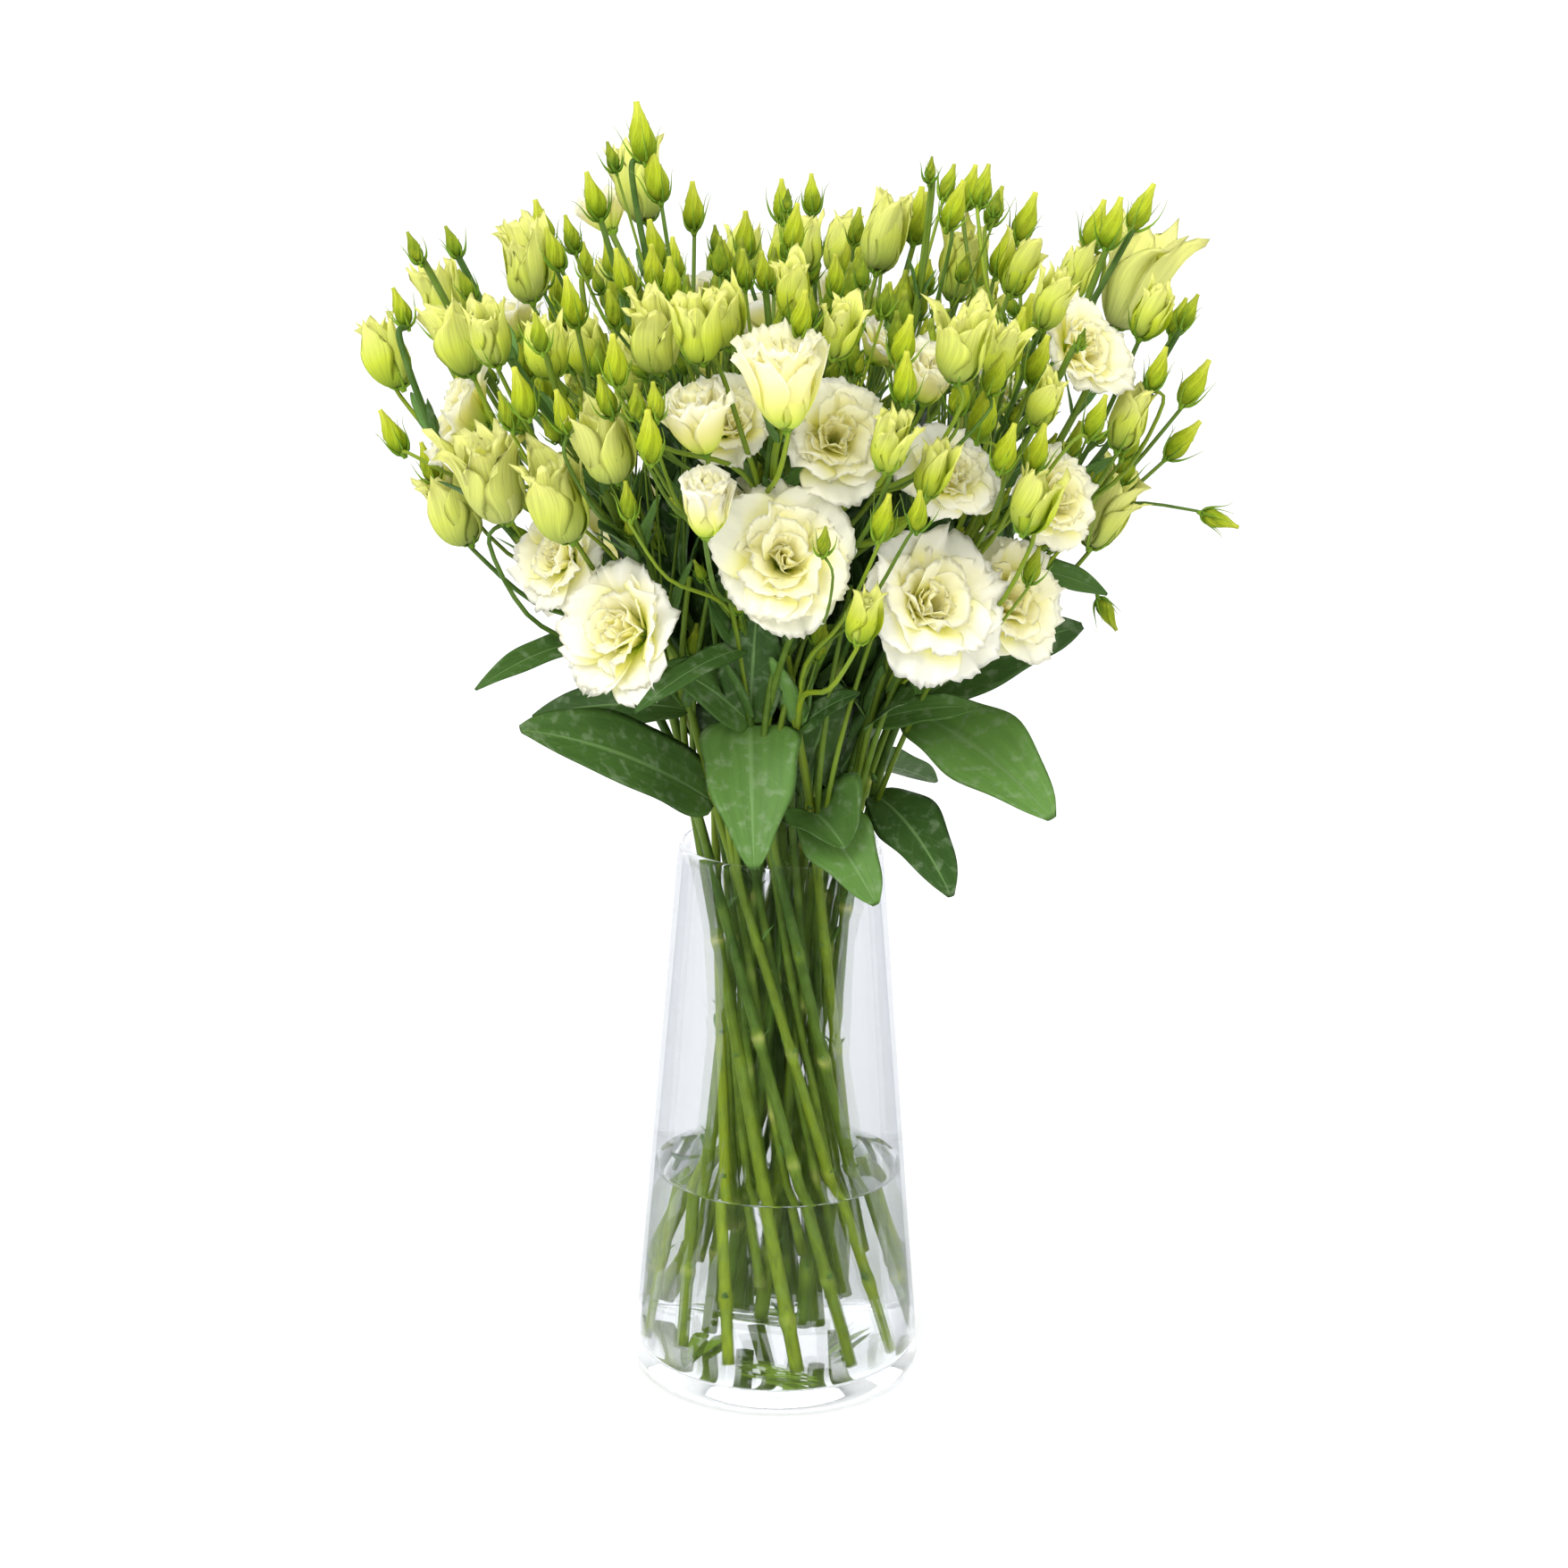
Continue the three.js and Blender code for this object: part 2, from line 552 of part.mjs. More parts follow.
// A flower turned as one shell: rows of out, up and lobe, where a lobed row keeps every other corner as the
// tip of a petal and draws the corners between them in
const NOTCH_OUT = 0.72;
const NOTCH_UP = 0.82;

function lobed(rowsUp, radius, height, twist) {
  const points = rowsUp.map(([out, up]) => new THREE.Vector2(out * radius, up * height));
  const geometry = new THREE.LatheGeometry(points, 2 * PETALS).rotateX(Math.PI / 2);
  const at = geometry.getAttribute("position");
  for (let n = 0; n < at.count; n++) {
    const lobe = rowsUp[n % points.length][2];
    const column = Math.floor(n / points.length) % 2;
    if (!lobe || column === (lobe > 0 ? 0 : 1)) continue;
    at.setXYZ(n, at.getX(n) * NOTCH_OUT, at.getY(n) * NOTCH_OUT, at.getZ(n) * NOTCH_UP);
  }
  return solid(twisted(geometry, twist / height));
}

// A cup: a half-open flower, its five petals a twisted goblet with flaring pointed tips
const CUP_ROWS = [[0, -0.05, 0], [0.86, 0.4, 0], [1, 1, 1], [0, 0.62, 0]];
const CUP_TWIST = 0.9;
const cup = (width) => lobed(CUP_ROWS, width / 2, width * CUP_HEIGHT_SHARE, CUP_TWIST);

// A petal: a cupped blade from the flower's middle out to a pointed tip. Its corners are out, sideways and
// up, as shares of the radius: the claw, one side, the tip, the other side, and the hollow in the middle
const PETAL_CORNERS = [[0.08, 0, 0.2], [0.8, 0.43, 0.46], [1, 0, 0.44], [0.8, -0.43, 0.46], [0.62, 0, 0.33]];

function petal(radius, angle) {
  const points = PETAL_CORNERS.map((corner) => V(...corner).multiplyScalar(radius).applyAxisAngle(UP, angle));
  const hub = points.length - 1;
  return blade(points, Array.from({ length: hub }, (_, n) => [n, (n + 1) % hub, hub]));
}

const HEART_ROWS = [[0, 0, 0], [0.5, 0.26, 0], [0.66, 0.86, 1], [0.4, 0.72, -1], [0, 0.6, 0]];
const BLOOM_ROWS = [[0, 0, 0], [0.4, 0.2, 0], [1, 0.46, 1], [0.44, 0.46, 0], [0.62, 0.9, -1], [0, 0.52, 0]];

const BLOOM_TWIST = 0.3;
const HEART_TWIST = 0.4;

// A large bloom has outer petals of its own round a lobed heart, and a small one is all one lobed shell
function bloom(diameter, far) {
  const radius = diameter / 2;
  if (far || diameter < LARGE_BLOOM) return lobed(BLOOM_ROWS, radius, radius, BLOOM_TWIST);
  const parts = [lobed(HEART_ROWS, radius, radius, HEART_TWIST)];
  for (let n = 0; n < PETALS; n++) parts.push(petal(radius, (n / PETALS) * 2 * Math.PI));
  return joined(parts);
}

// A leaf: a blade bowed from its base to its tip, widest below the middle and folded a little at the rib
const LEAF_STEPS = [0, 0.3, 0.6, 0.85, 1];
const LEAF_HALVES = [0.03, 0.5, 0.46, 0.26, 0];
const LEAF_BOW_AT = 0.45;

function leaf({ base, tip, width }) {
  const span = tip.clone().sub(base);
  const length = span.length();
  const front = V(0, 0.75 * Math.sign(base.y), 0.66);
  const out = V(base.x, base.y, 0).normalize();
  const bow = out.multiplyScalar(0.25).addScaledVector(UP, 0.75).multiplyScalar(length * LEAF_ARCH);
  const middle = base.clone().addScaledVector(span, LEAF_BOW_AT).add(bow);
  const rib = new THREE.QuadraticBezierCurve3(base, middle, tip);
  const points = [];
  LEAF_STEPS.forEach((t, k) => {
    const at = rib.getPoint(t);
    const along = rib.getTangent(t);
    const side = along.clone().cross(front).normalize();
    const face = side.clone().cross(along).normalize();
    const half = width * LEAF_HALVES[k];
    const lift = LEAF_FOLD * half;
    const edge = (way) => at.clone().addScaledVector(side, way * half).addScaledVector(face, lift);
    if (half) points.push(edge(-1));
    points.push(at);
    if (half) points.push(edge(1));
  });
  const triangles = [];
  for (let row = 0; row < 3; row++) {
    const a = row * 3;
    triangles.push([a, a + 1, a + 4], [a, a + 4, a + 3], [a + 1, a + 2, a + 4], [a + 2, a + 5, a + 4]);
  }
  triangles.push([9, 10, 12], [10, 11, 12]);
  return blade(points, triangles);
}

// Vase: a straight taper with a rounded heel, a thick base and a rounded rim, turned about the axis
function vaseProfile() {
  const arc = (x, z, radius, from, to, steps) =>
    Array.from({ length: steps + 1 }, (_, n) => {
      const angle = degToRad(lerp(from, to, n / steps));
      return new THREE.Vector2(x + radius * Math.cos(angle), z + radius * Math.sin(angle));
    });
  const rim = WALL / 2;
  return [
    new THREE.Vector2(0, 0),
    ...arc(FOOT_RADIUS - HEEL_RADIUS, HEEL_RADIUS, HEEL_RADIUS, -90, 0, 4),
    ...arc(RIM_RADIUS - rim, VASE_HEIGHT - rim, rim, 0, 180, 4),
    ...arc(FOOT_RADIUS - WALL - FLOOR_FILLET, FLOOR_HEIGHT + FLOOR_FILLET, FLOOR_FILLET, 0, -90, 3),
    new THREE.Vector2(0, FLOOR_HEIGHT),
  ];
}

// The vase's inner half-width at a height
function innerRadius(z) {
  const low = FLOOR_HEIGHT + FLOOR_FILLET;
  const share = (z - low) / (VASE_HEIGHT - WALL / 2 - low);
  return lerp(FOOT_RADIUS - WALL, RIM_RADIUS - WALL, share);
}

const turnedRound = (profile) => solid(new THREE.LatheGeometry(profile, ROUND_STEPS).rotateX(Math.PI / 2));

// The water: it lies inside the vase with a small gap, its lower edge cut flat across the floor's fillet, and
// the stems stand in plain holes
const FILLET_CUT = { in: 0.4, up: 0.28 };
const WALL_SPARE = 0.1;

function water() {
  const low = FLOOR_HEIGHT + CLEARANCE;
  const reach = CLEARANCE / Math.cos(Math.PI / ROUND_STEPS) + WALL_SPARE;
  const bend = FLOOR_HEIGHT + FLOOR_FILLET;
  const inside = FOOT_RADIUS - WALL;
  const body = turnedRound([
    new THREE.Vector2(0, low),
    new THREE.Vector2(inside - FLOOR_FILLET, low),
    new THREE.Vector2(inside - FLOOR_FILLET * FILLET_CUT.in, low + FLOOR_FILLET * FILLET_CUT.up),
    new THREE.Vector2(innerRadius(bend) - reach, bend),
    new THREE.Vector2(innerRadius(WATER_HEIGHT) - reach, WATER_HEIGHT),
    new THREE.Vector2(0, WATER_HEIGHT),
  ]);
  const holes = sprays.map(({ foot, along }) => {
    const from = foot.clone().addScaledVector(along, -HOLE_CLEARANCE);
    const to = foot.clone().addScaledVector(along, WATER_HEIGHT + HOLE_OVERRUN);
    return tube([from, to], STEM_RADIUS + HOLE_CLEARANCE, STEM_SIDES);
  });
  return body.subtract(wasm.Manifold.union(holes));
}

// Solid buds: one in a few of each spray's, and all those at the crown's sides
const isSolid = ({ kind, place }, n) =>
  kind !== "bud" || n % BUDS_PER_SOLID === 0 || Math.abs(place.x) > EDGE_REACH;

// One spray: its stem, leader, pedicels, buds, cups and leaves in one piece
function spraySolid(spray) {
  const top = spray.neck.clone().addScaledVector(spray.along, STEM_OVERRUN);
  const parts = [tube([spray.foot, top], STEM_RADIUS, STEM_SIDES)];
  parts.push(tube(spray.leader.points, LEADER_RADIUS, LEADER_SIDES));
  spray.heads.forEach((head, n) => {
    if (!isSolid(head, n)) return;
    if (n) parts.push(tube(spray.pedicels[n - 1].points, PEDICEL_RADIUS, PEDICEL_SIDES));
    const matrix = stance(head.axis, head.base, FULL_SPIN * scatter(n, 2));
    if (head.kind === "bud") parts.push(placed(bud(head.size * BUD_LENGTH_SHARE), matrix));
    if (head.kind === "cup") parts.push(placed(cup(head.size), matrix));
  });
  spray.leaves.forEach((one) => parts.push(leaf(one)));
  return joined(parts);
}

// Materials and the assembly
const colours = {
  glass: { color: 0xe8f0f2, roughness: 0.05, metalness: 0, transparent: true, opacity: 0.35 },
  water: { color: 0xdfeaea, roughness: 0.05, metalness: 0, transparent: true, opacity: 0.4 },
  green: { color: 0x5f8a34, roughness: 0.6, metalness: 0 },
  cream: { color: 0xf6f0c8, roughness: 0.7, metalness: 0 },
};

const bouquet = new THREE.Group();

function add(name, shape, look) {
  const { vertProperties, triVerts, numProp } = shape.getMesh();
  const geometry = new THREE.BufferGeometry();
  geometry.setAttribute("position", new THREE.BufferAttribute(new Float32Array(vertProperties), numProp));
  geometry.setIndex(new THREE.BufferAttribute(new Uint32Array(triVerts), 1));
  geometry.computeVertexNormals();
  const mesh = new THREE.Mesh(geometry, new THREE.MeshStandardMaterial(colours[look]));
  mesh.name = name;
  bouquet.add(mesh);
}

const numbered = (name, n) => name + "_" + String(n + 1).padStart(2, "0");

add("vase", turnedRound(vaseProfile()), "glass");
add("water", water(), "water");
sprays.forEach((spray, n) => add(numbered("spray", n), spraySolid(spray), "green"));
heads
  .filter((head) => head.kind === "bloom")
  .forEach((head, n) => {
    const seat = head.base.clone().addScaledVector(head.axis, CLEARANCE);
    const shape = placed(bloom(head.size, head.far), stance(head.axis, seat, BLOOM_SPIN * scatter(n, 1)));
    add(numbered("bloom", n), shape, "cream");
  });

export default bouquet;
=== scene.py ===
# %% [markdown]
# # A bouquet of lisianthus in its vase
# Twenty-five cut stems of cream, double lisianthus stand in a tapered glass vase with a little water.
# Each stem carries open blooms, half-open flowers and many buds on thin side shoots, so the bouquet is
# two hundred heads on one plan. The plan comes first, and every piece is then grown on it.

# %% The frame
import math

import bpy
import numpy as np
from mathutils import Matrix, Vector


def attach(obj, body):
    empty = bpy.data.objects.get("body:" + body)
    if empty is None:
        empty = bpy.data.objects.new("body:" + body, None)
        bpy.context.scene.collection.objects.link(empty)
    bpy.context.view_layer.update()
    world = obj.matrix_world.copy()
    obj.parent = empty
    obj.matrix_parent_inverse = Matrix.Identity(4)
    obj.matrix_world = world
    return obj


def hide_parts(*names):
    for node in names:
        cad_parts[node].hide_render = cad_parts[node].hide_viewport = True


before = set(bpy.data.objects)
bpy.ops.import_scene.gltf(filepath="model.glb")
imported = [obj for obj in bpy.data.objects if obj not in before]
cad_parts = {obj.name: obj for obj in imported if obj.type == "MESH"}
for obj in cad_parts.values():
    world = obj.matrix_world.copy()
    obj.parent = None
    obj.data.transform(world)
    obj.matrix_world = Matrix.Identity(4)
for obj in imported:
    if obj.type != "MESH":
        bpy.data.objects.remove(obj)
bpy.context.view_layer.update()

rng = np.random.default_rng(5)
MM = 0.001
TURN = 2 * math.pi
ROUGH_TURN = 6.28  # for random angles, which need no more digits

# %% [markdown]
# ## The plan: where each head is
# A florist's bouquet looks random, but each head has its place. They could be scattered by a particle
# system, and then no head would be where the real one is. So each is noted as it is seen: how far across
# and down the square view, how deep it lies in the crown, and its size. A line of sight through the view
# and the crown's round shape turn that into a point. All lengths of the plan are in millimetres.

# %% The view and the crown
VIEW_Y, VIEW_Z = -1590, 734
VIEW_PITCH = math.radians(14.2)
VIEW_FOCAL, VIEW_CENTRE = 3429, 877.5
VIEW_ROLL, VIEW_SHIFT = math.radians(0.6), 0.0017
CROWN_FOOT = np.array([0, 0, 230])
CROWN_LEAN = math.radians(33)
CROWN_REACH = 440
CROWN_DEPTH_SHARE = 0.86
UP = np.array([0, 0, 1.0])


def unit(v):
    """Vectors divided by their own lengths."""
    return v / np.maximum(np.linalg.norm(v, axis=-1, keepdims=True), 1e-9)


def level(angle):
    """Level directions of length 1, at angles round the vase's axis."""
    return np.stack([np.cos(angle), np.sin(angle), 0 * angle], -1)


def ringwise(angle):
    """Level directions square to those, the way a ring round the axis runs."""
    return np.stack([-np.sin(angle), np.cos(angle), 0 * angle], -1)


def scatter(n, series):
    """An even spread from 0 to 1: the share left over when n + 1 is multiplied by an irrational number."""
    step = (0.6180339887, 0.7548776662, 0.5698402910, 0.8191725134)[series]
    return (np.asarray(n) + 1) * step % 1


# %% Lines of sight, and how wide the crown is
def seen_at(across, down, y):
    """The points seen at places in the view that lie at depths y: each line of sight, cut by its plane."""
    sideways = (np.asarray(across) - VIEW_CENTRE) / VIEW_FOCAL
    upwards = (VIEW_CENTRE - np.asarray(down)) / VIEW_FOCAL
    ahead = math.cos(VIEW_PITCH) + upwards * math.sin(VIEW_PITCH)
    rising = upwards * math.cos(VIEW_PITCH) - math.sin(VIEW_PITCH)
    far = (y - VIEW_Y) / ahead
    return np.stack(np.broadcast_arrays(sideways * far, y + 0 * far, VIEW_Z + rising * far), -1)


def crown_radius(z):
    """The crown's half-width at a height: a cone, cut off by a ball round the crown's foot."""
    rise = z - CROWN_FOOT[2]
    return np.minimum(rise * math.tan(CROWN_LEAN), np.sqrt(np.maximum(CROWN_REACH**2 - rise**2, 0)))


print("sight: the middle of the view meets the vase's axis at", seen_at(877.5, 877.5, 0).round(1))

# %% Heads as they are seen
# Each row says how far across and how far down, the depth from 1 in front to -1 behind, the size in
# millimetres and, for a bloom, how far it faces out.
BLOOMS = [
    [905, 620, 1, 63, 0.85], [1050, 646, 1, 68, 0.7], [1143, 663, 0.93, 60, 0.85],
    [1078, 556, 0.86, 46, 0.6], [1187, 553, 0.8, 50, 0.8], [924, 509, 0.82, 54, 0.7],
    [876, 446, 0.88, 50, 0.12], [783, 498, 0.95, 38, 0.15], [793, 559, 1.05, 36, 0.1],
    [818, 478, 0.72, 44, 0.6], [687, 695, 1, 66, 0.9], [513, 474, 0.4, 52, 0.7], [572, 363, -0.5, 36, 0.4],
    [677, 255, -0.6, 30, 0.3], [776, 332, -0.5, 40, 0.5], [864, 358, -0.1, 42, 0.5],
    [945, 328, -0.7, 34, 0.4], [990, 385, 0, 40, 0.5], [1225, 395, 0.4, 50, 0.7], [606, 612, 0.8, 46, 0.9],
    [822, 575, 0.7, 30, 0.6], [1039, 428, 0.6, 34, 0.2], [1122, 430, -0.1, 34, 0.5],
]

CUPS = [
    [711, 226, -0.3, 28], [585, 305, 0, 27], [441, 414, 0.2, 23], [494, 343, -0.2, 23], [512, 395, 0.4, 25],
    [548, 385, 0.7, 20], [732, 382, 0.7, 27], [779, 374, 0.8, 23], [808, 362, 0.6, 20], [607, 405, 0.8, 20],
    [871, 283, -0.6, 17], [899, 280, 0.2, 18], [885, 330, 0.7, 20], [922, 374, 0.8, 20],
    [984, 268, -0.3, 27], [1071, 300, -0.4, 27], [1068, 397, 0.8, 25], [1138, 302, 0, 20],
    [1206, 312, -0.2, 20], [1256, 325, -0.3, 38], [1283, 350, 0.2, 19], [1166, 446, 0.7, 18],
    [997, 500, 0.95, 22], [1138, 560, 1, 22], [1253, 456, 0.5, 22], [943, 668, 1.12, 18],
    [1236, 575, 0.8, 28], [563, 550, 0.7, 36], [626, 565, 0.95, 31], [676, 512, 0.9, 28],
    [1036, 530, 1, 18], [700, 420, 0.4, 20], [1120, 395, 0.6, 20], [655, 395, 0.1, 20],
    [1180, 350, 0.4, 19],
]

BUDS = [
    [716, 162, -0.1, 24], [728, 196, 0, 22], [681, 180, 0.1, 12], [753, 232, -0.3, 20], [461, 284, 0, 13],
    [504, 277, 0.2, 13], [520, 325, 0.3, 13], [447, 352, 0.3, 16], [604, 258, -0.3, 20],
    [636, 268, -0.4, 16], [618, 285, 0.4, 17], [601, 379, 0.9, 15], [638, 345, 0.6, 20],
    [684, 350, 0.6, 15], [695, 312, 0, 20], [728, 305, 0.5, 18], [749, 318, 0.6, 17], [728, 275, -0.2, 21],
    [681, 290, -0.5, 18], [795, 292, -0.5, 18], [830, 270, -0.4, 20], [830, 305, 0.5, 15],
    [852, 306, 0.6, 15], [687, 410, 0.9, 20], [588, 440, 0.9, 21], [566, 466, 0.9, 15], [677, 449, 0.9, 17],
    [712, 455, 0.95, 15], [732, 458, 1, 15], [631, 468, 0.95, 18], [540, 520, 0.6, 16], [741, 490, 1, 22],
    [701, 560, 1, 15], [878, 226, -0.3, 9], [905, 221, -0.5, 17], [885, 258, 0.4, 18], [955, 256, -0.6, 16],
    [1022, 245, -0.5, 24], [1037, 190, -0.2, 10], [1057, 205, -0.5, 15], [1080, 212, -0.6, 19],
    [1096, 210, -0.4, 18], [1111, 228, 0.1, 10], [1064, 232, 0.3, 20], [1139, 244, -0.5, 22],
    [1118, 285, -0.3, 20], [1222, 253, -0.3, 21], [1241, 251, 0.2, 21], [1273, 232, 0, 20],
    [1327, 347, 0, 15], [1208, 377, 0.6, 8], [1287, 411, 0.5, 18], [1334, 428, 0.2, 21],
    [1225, 467, 0.8, 18], [1320, 491, 0.3, 20], [1260, 519, 0.6, 17], [1264, 490, 0.5, 17],
    [1362, 576, 0.3, 16], [1159, 505, 0.9, 20], [1028, 570, 1.1, 17], [987, 583, 1.05, 19],
    [1120, 502, 0.9, 20], [1096, 467, 0.8, 24], [1075, 439, 0.8, 18], [1110, 418, 0.8, 18],
    [1159, 409, 0.6, 20], [1138, 370, 0.5, 18], [1011, 425, 0.9, 20], [1018, 386, 0.8, 20],
    [987, 337, 0.5, 12], [950, 362, 0.6, 17], [932, 312, 0.4, 17], [903, 360, 0.8, 18], [922, 607, 1.2, 12],
    [1156, 633, 1.15, 15], [1239, 681, 0.9, 15], [655, 300, -0.6, 16],
]

# %% Leaves as they are seen
# Each row says across and down of the base, across and down of the tip, how far in front of the vase's
# axis the tip stands, and the width.
LEAVES = [
    [792, 890, 584, 820, 118, 44], [792, 842, 848, 974, 106, 50], [905, 880, 950, 950, 76, 44],
    [915, 935, 985, 1012, 82, 36], [1000, 866, 1069, 1002, 86, 33], [1046, 800, 1181, 914, 96, 46],
    [1046, 790, 1213, 697, -12, 34], [1010, 850, 1098, 790, 60, 18], [650, 750, 534, 776, 85, 17],
    [745, 850, 598, 806, 30, 26], [792, 850, 745, 745, 88, 28], [812, 770, 790, 655, 92, 23],
    [842, 780, 850, 668, 96, 33], [735, 660, 672, 595, 120, 22], [800, 755, 712, 800, 140, 14],
    [1180, 640, 1240, 662, 32, 18], [985, 850, 1022, 784, 92, 27], [905, 860, 965, 775, 88, 15],
]
BLOOM, CUP, BUD = 0, 1, 2
print("read off:", len(BLOOMS), "blooms,", len(CUPS), "half-open flowers,", len(BUDS), "buds")

# %% [markdown]
# ## Heads in space
# What stands low in front is repeated on the far side, turned half round the axis, because a bouquet is
# round. Heads that would touch are pushed apart, mostly in depth, so the view of them stays as it is.

# %% The tables as points
SIGHT_ROUNDS = 6


def read_heads():
    """The tables as one array, then rounds of cutting each line of sight at the crown's own depth."""
    rows = [row + [0] * (5 - len(row)) for row in BLOOMS + CUPS + BUDS]
    across, down, depth, size, facing = np.array(rows, float).T
    kind = np.repeat([BLOOM, CUP, BUD], [len(BLOOMS), len(CUPS), len(BUDS)])
    place = seen_at(across, down, 0)
    for _ in range(SIGHT_ROUNDS):
        reach = np.sqrt(np.maximum(crown_radius(place[:, 2]) ** 2 - place[:, 0] ** 2, 0))
        place = seen_at(across, down, -depth * CROWN_DEPTH_SHARE * reach)
    return kind, place, size, facing, depth


# %% The far side
FAR_BLOOM_DEPTH, FAR_HEAD_DEPTH, SIGHT_LIMIT = 0.82, 0.3, 1.1
FAR_BUD, FAR_SHIFT, FAR_LIFT = 19, 20, 24


def with_far_side(kind, place, size, facing, depth):
    """Adds the low front heads again, with x and y reversed; every other half-open one becomes a bud."""
    low = (depth >= FAR_HEAD_DEPTH) & (depth <= SIGHT_LIMIT)
    far = np.where(kind == BLOOM, depth >= FAR_BLOOM_DEPTH, low)
    n = np.arange(far.sum())
    turned = place[far] * [-1, -1, 1]
    turned[:, 0] += FAR_SHIFT * (scatter(n, 0) - 0.5)
    turned[:, 2] += FAR_LIFT * (scatter(n, 1) - 0.3)
    closed = (kind[far] == CUP) & (n % 2 == 1)
    kinds = np.concatenate([kind, np.where(closed, BUD, kind[far])])
    sizes = np.concatenate([size, np.where(closed, FAR_BUD, size[far])])
    return kinds, np.concatenate([place, turned]), sizes, np.concatenate([facing, facing[far]])


# %% Heads pushed apart
# As shares of the size of a bloom, a half-open flower and a bud: the ball that each keeps clear, and how
# far its middle stands above its base.
SPHERE = np.array([0.54, 0.72, 0.45])
SEAT = np.array([0.3, 0.6, 0.5])
HEAD_GAP, SPREAD_ROUNDS = 1.2, 80
PUSH_SHARES = np.array([0.45, 1.4, 0.45])


def spread(place, radius):
    """Rounds in which every two heads that crowd each other each give way by half of what is missing."""
    for _ in range(SPREAD_ROUNDS):
        between = place[None] - place[:, None]
        gap = np.linalg.norm(between, axis=-1) + 1e9 * np.eye(len(place))
        short = np.maximum(radius[:, None] + radius + HEAD_GAP - gap, 0)
        place = place - (between * (short * 0.5 / gap)[..., None] * PUSH_SHARES).sum(1)
    return place


kind, place, size, facing = with_far_side(*read_heads())
radius = size * SPHERE[kind]
place = spread(place, radius)
far_side = np.arange(len(kind)) >= len(BLOOMS) + len(CUPS) + len(BUDS)
print("heads:", len(kind), "of them", int((kind == BLOOM).sum()), "blooms")

# %% Heads turned: a bloom faces out as far as its table says, and the others lean with the crown
LEAN_REACH, LEAN_SHARE, BLOOM_LEAN, BLOOM_DROOP, JITTER = 200, 0.45, 0.15, 0.75, 0.24
number = np.arange(len(kind))
outward = place * [1, 1, 0]
bloom_lean = unit(outward) * (BLOOM_LEAN + facing[:, None])
lean_out = np.where((kind == BLOOM)[:, None], bloom_lean, outward / LEAN_REACH * LEAN_SHARE)
jitter = np.stack([scatter(number, 1) - 0.5, scatter(number, 2) - 0.5, 0 * number], -1) * JITTER
axis = unit(UP * (1 - BLOOM_DROOP * facing[:, None]) + lean_out + jitter)
base = place - axis * (size * SEAT[kind])[:, None]
print("steepest bloom looks", round(math.degrees(math.acos(axis[kind == BLOOM, 2].min()))), "degrees from up")

# %% [markdown]
# ## Stems
# In the vase the stems are straight rods that lean round each other, as in a hand-tied bunch. Each one is
# a skew line through its own point of the waist. Above the neck it becomes a curve to its furthest head.

# %% Stems as skew lines
FLOOR_HEIGHT, NECK_HEIGHT, WAIST_HEIGHT, STEM_RADIUS, SWAY = 12, 330, 200, 3.1, 0.18
# Each ring's number of stems, radius at the waist, slope, first angle, lean outwards above the neck, and
# how unevenly high its stems end.
RINGS = [
    (12, 32, -0.3, 9, 31, 10), (8, 20.5, 0.12, 30, 20, 34), (4, 10, -0.09, 50, 10, 34), (1, 0, 0, 0, 0, 34),
]


def place_stems():
    """Lines through a ring of waist points, each sloping along the ring's own tangent."""
    feet, necks, aims = [], [], []
    for ring, (count, waist, slope, turn, lean, uneven) in enumerate(RINGS):
        n = np.arange(count)
        sway = (scatter(n, ring) - 0.5) * SWAY if count > 1 else 0 * n
        angle = math.radians(turn) + (n + sway) / count * TURN
        lift = 2 + abs(slope) * STEM_RADIUS + uneven * scatter(n, 3)
        for heights, ends in ((FLOOR_HEIGHT + lift, feet), (NECK_HEIGHT + 0 * lift, necks)):
            aside = ringwise(angle) * (slope * (heights - WAIST_HEIGHT))[:, None]
            ends.append(level(angle) * waist + aside + heights[:, None] * UP)
        outwards = level(np.arctan2(necks[-1][:, 1], necks[-1][:, 0]))
        tilt = math.radians(lean)
        leaning = outwards * math.sin(tilt) + UP * math.cos(tilt)
        aims.append(unit(leaning * [1, CROWN_DEPTH_SHARE, 1]))
    return np.concatenate(feet), np.concatenate(necks), np.concatenate(aims)


foot, neck, aim = place_stems()
along_stem = unit(neck - foot)
print("stems:", len(foot), "from", foot[:, 2].min().round(1), "mm to the neck at", NECK_HEIGHT)

# %% Heads shared among the stems: each stem takes its nearest head first, then each head its nearest stem
way = unit(place - CROWN_FOOT)
reach = np.linalg.norm(place - CROWN_FOOT, axis=1)
nearness = way @ aim.T
owner = np.full(len(place), -1)
for stem in range(len(foot)):
    owner[np.argmax(np.where(owner < 0, nearness[:, stem], -9))] = stem
owner = np.where(owner < 0, nearness.argmax(1), owner)
family = [sorted(np.flatnonzero(owner == stem), key=lambda head: -reach[head]) for stem in range(len(foot))]
print("heads on a stem: from", min(map(len, family)), "to", max(map(len, family)))

# %% [markdown]
# ## Shoots that keep clear of each other
# The main shoot of each stem runs to its furthest head, and thin pedicels leave it for the others. Drawn
# straight, many would pass through flowers. Each is a line of a few points that bows: wherever it comes too
# near to a head or to another stem's shoot, the nearest points are pushed off, and the push is smoothed.

# %% Routes to heads
STUB, ROUTE_GAP, ROUTE_SIGHT, BOW_STEP = 5, 0.9, 80, 5
BOTH_GIVE, ONE_GIVES, HEAD_PUSH, BOW_KEPT, BOW_SHARED = 0.8, 1.5, 0.9, 0.8, 0.1
LEADER_RADIUS, PEDICEL_RADIUS, PEDICEL_LENGTH, FORK_DROP = 1.9, 1.15, 112, 0.6


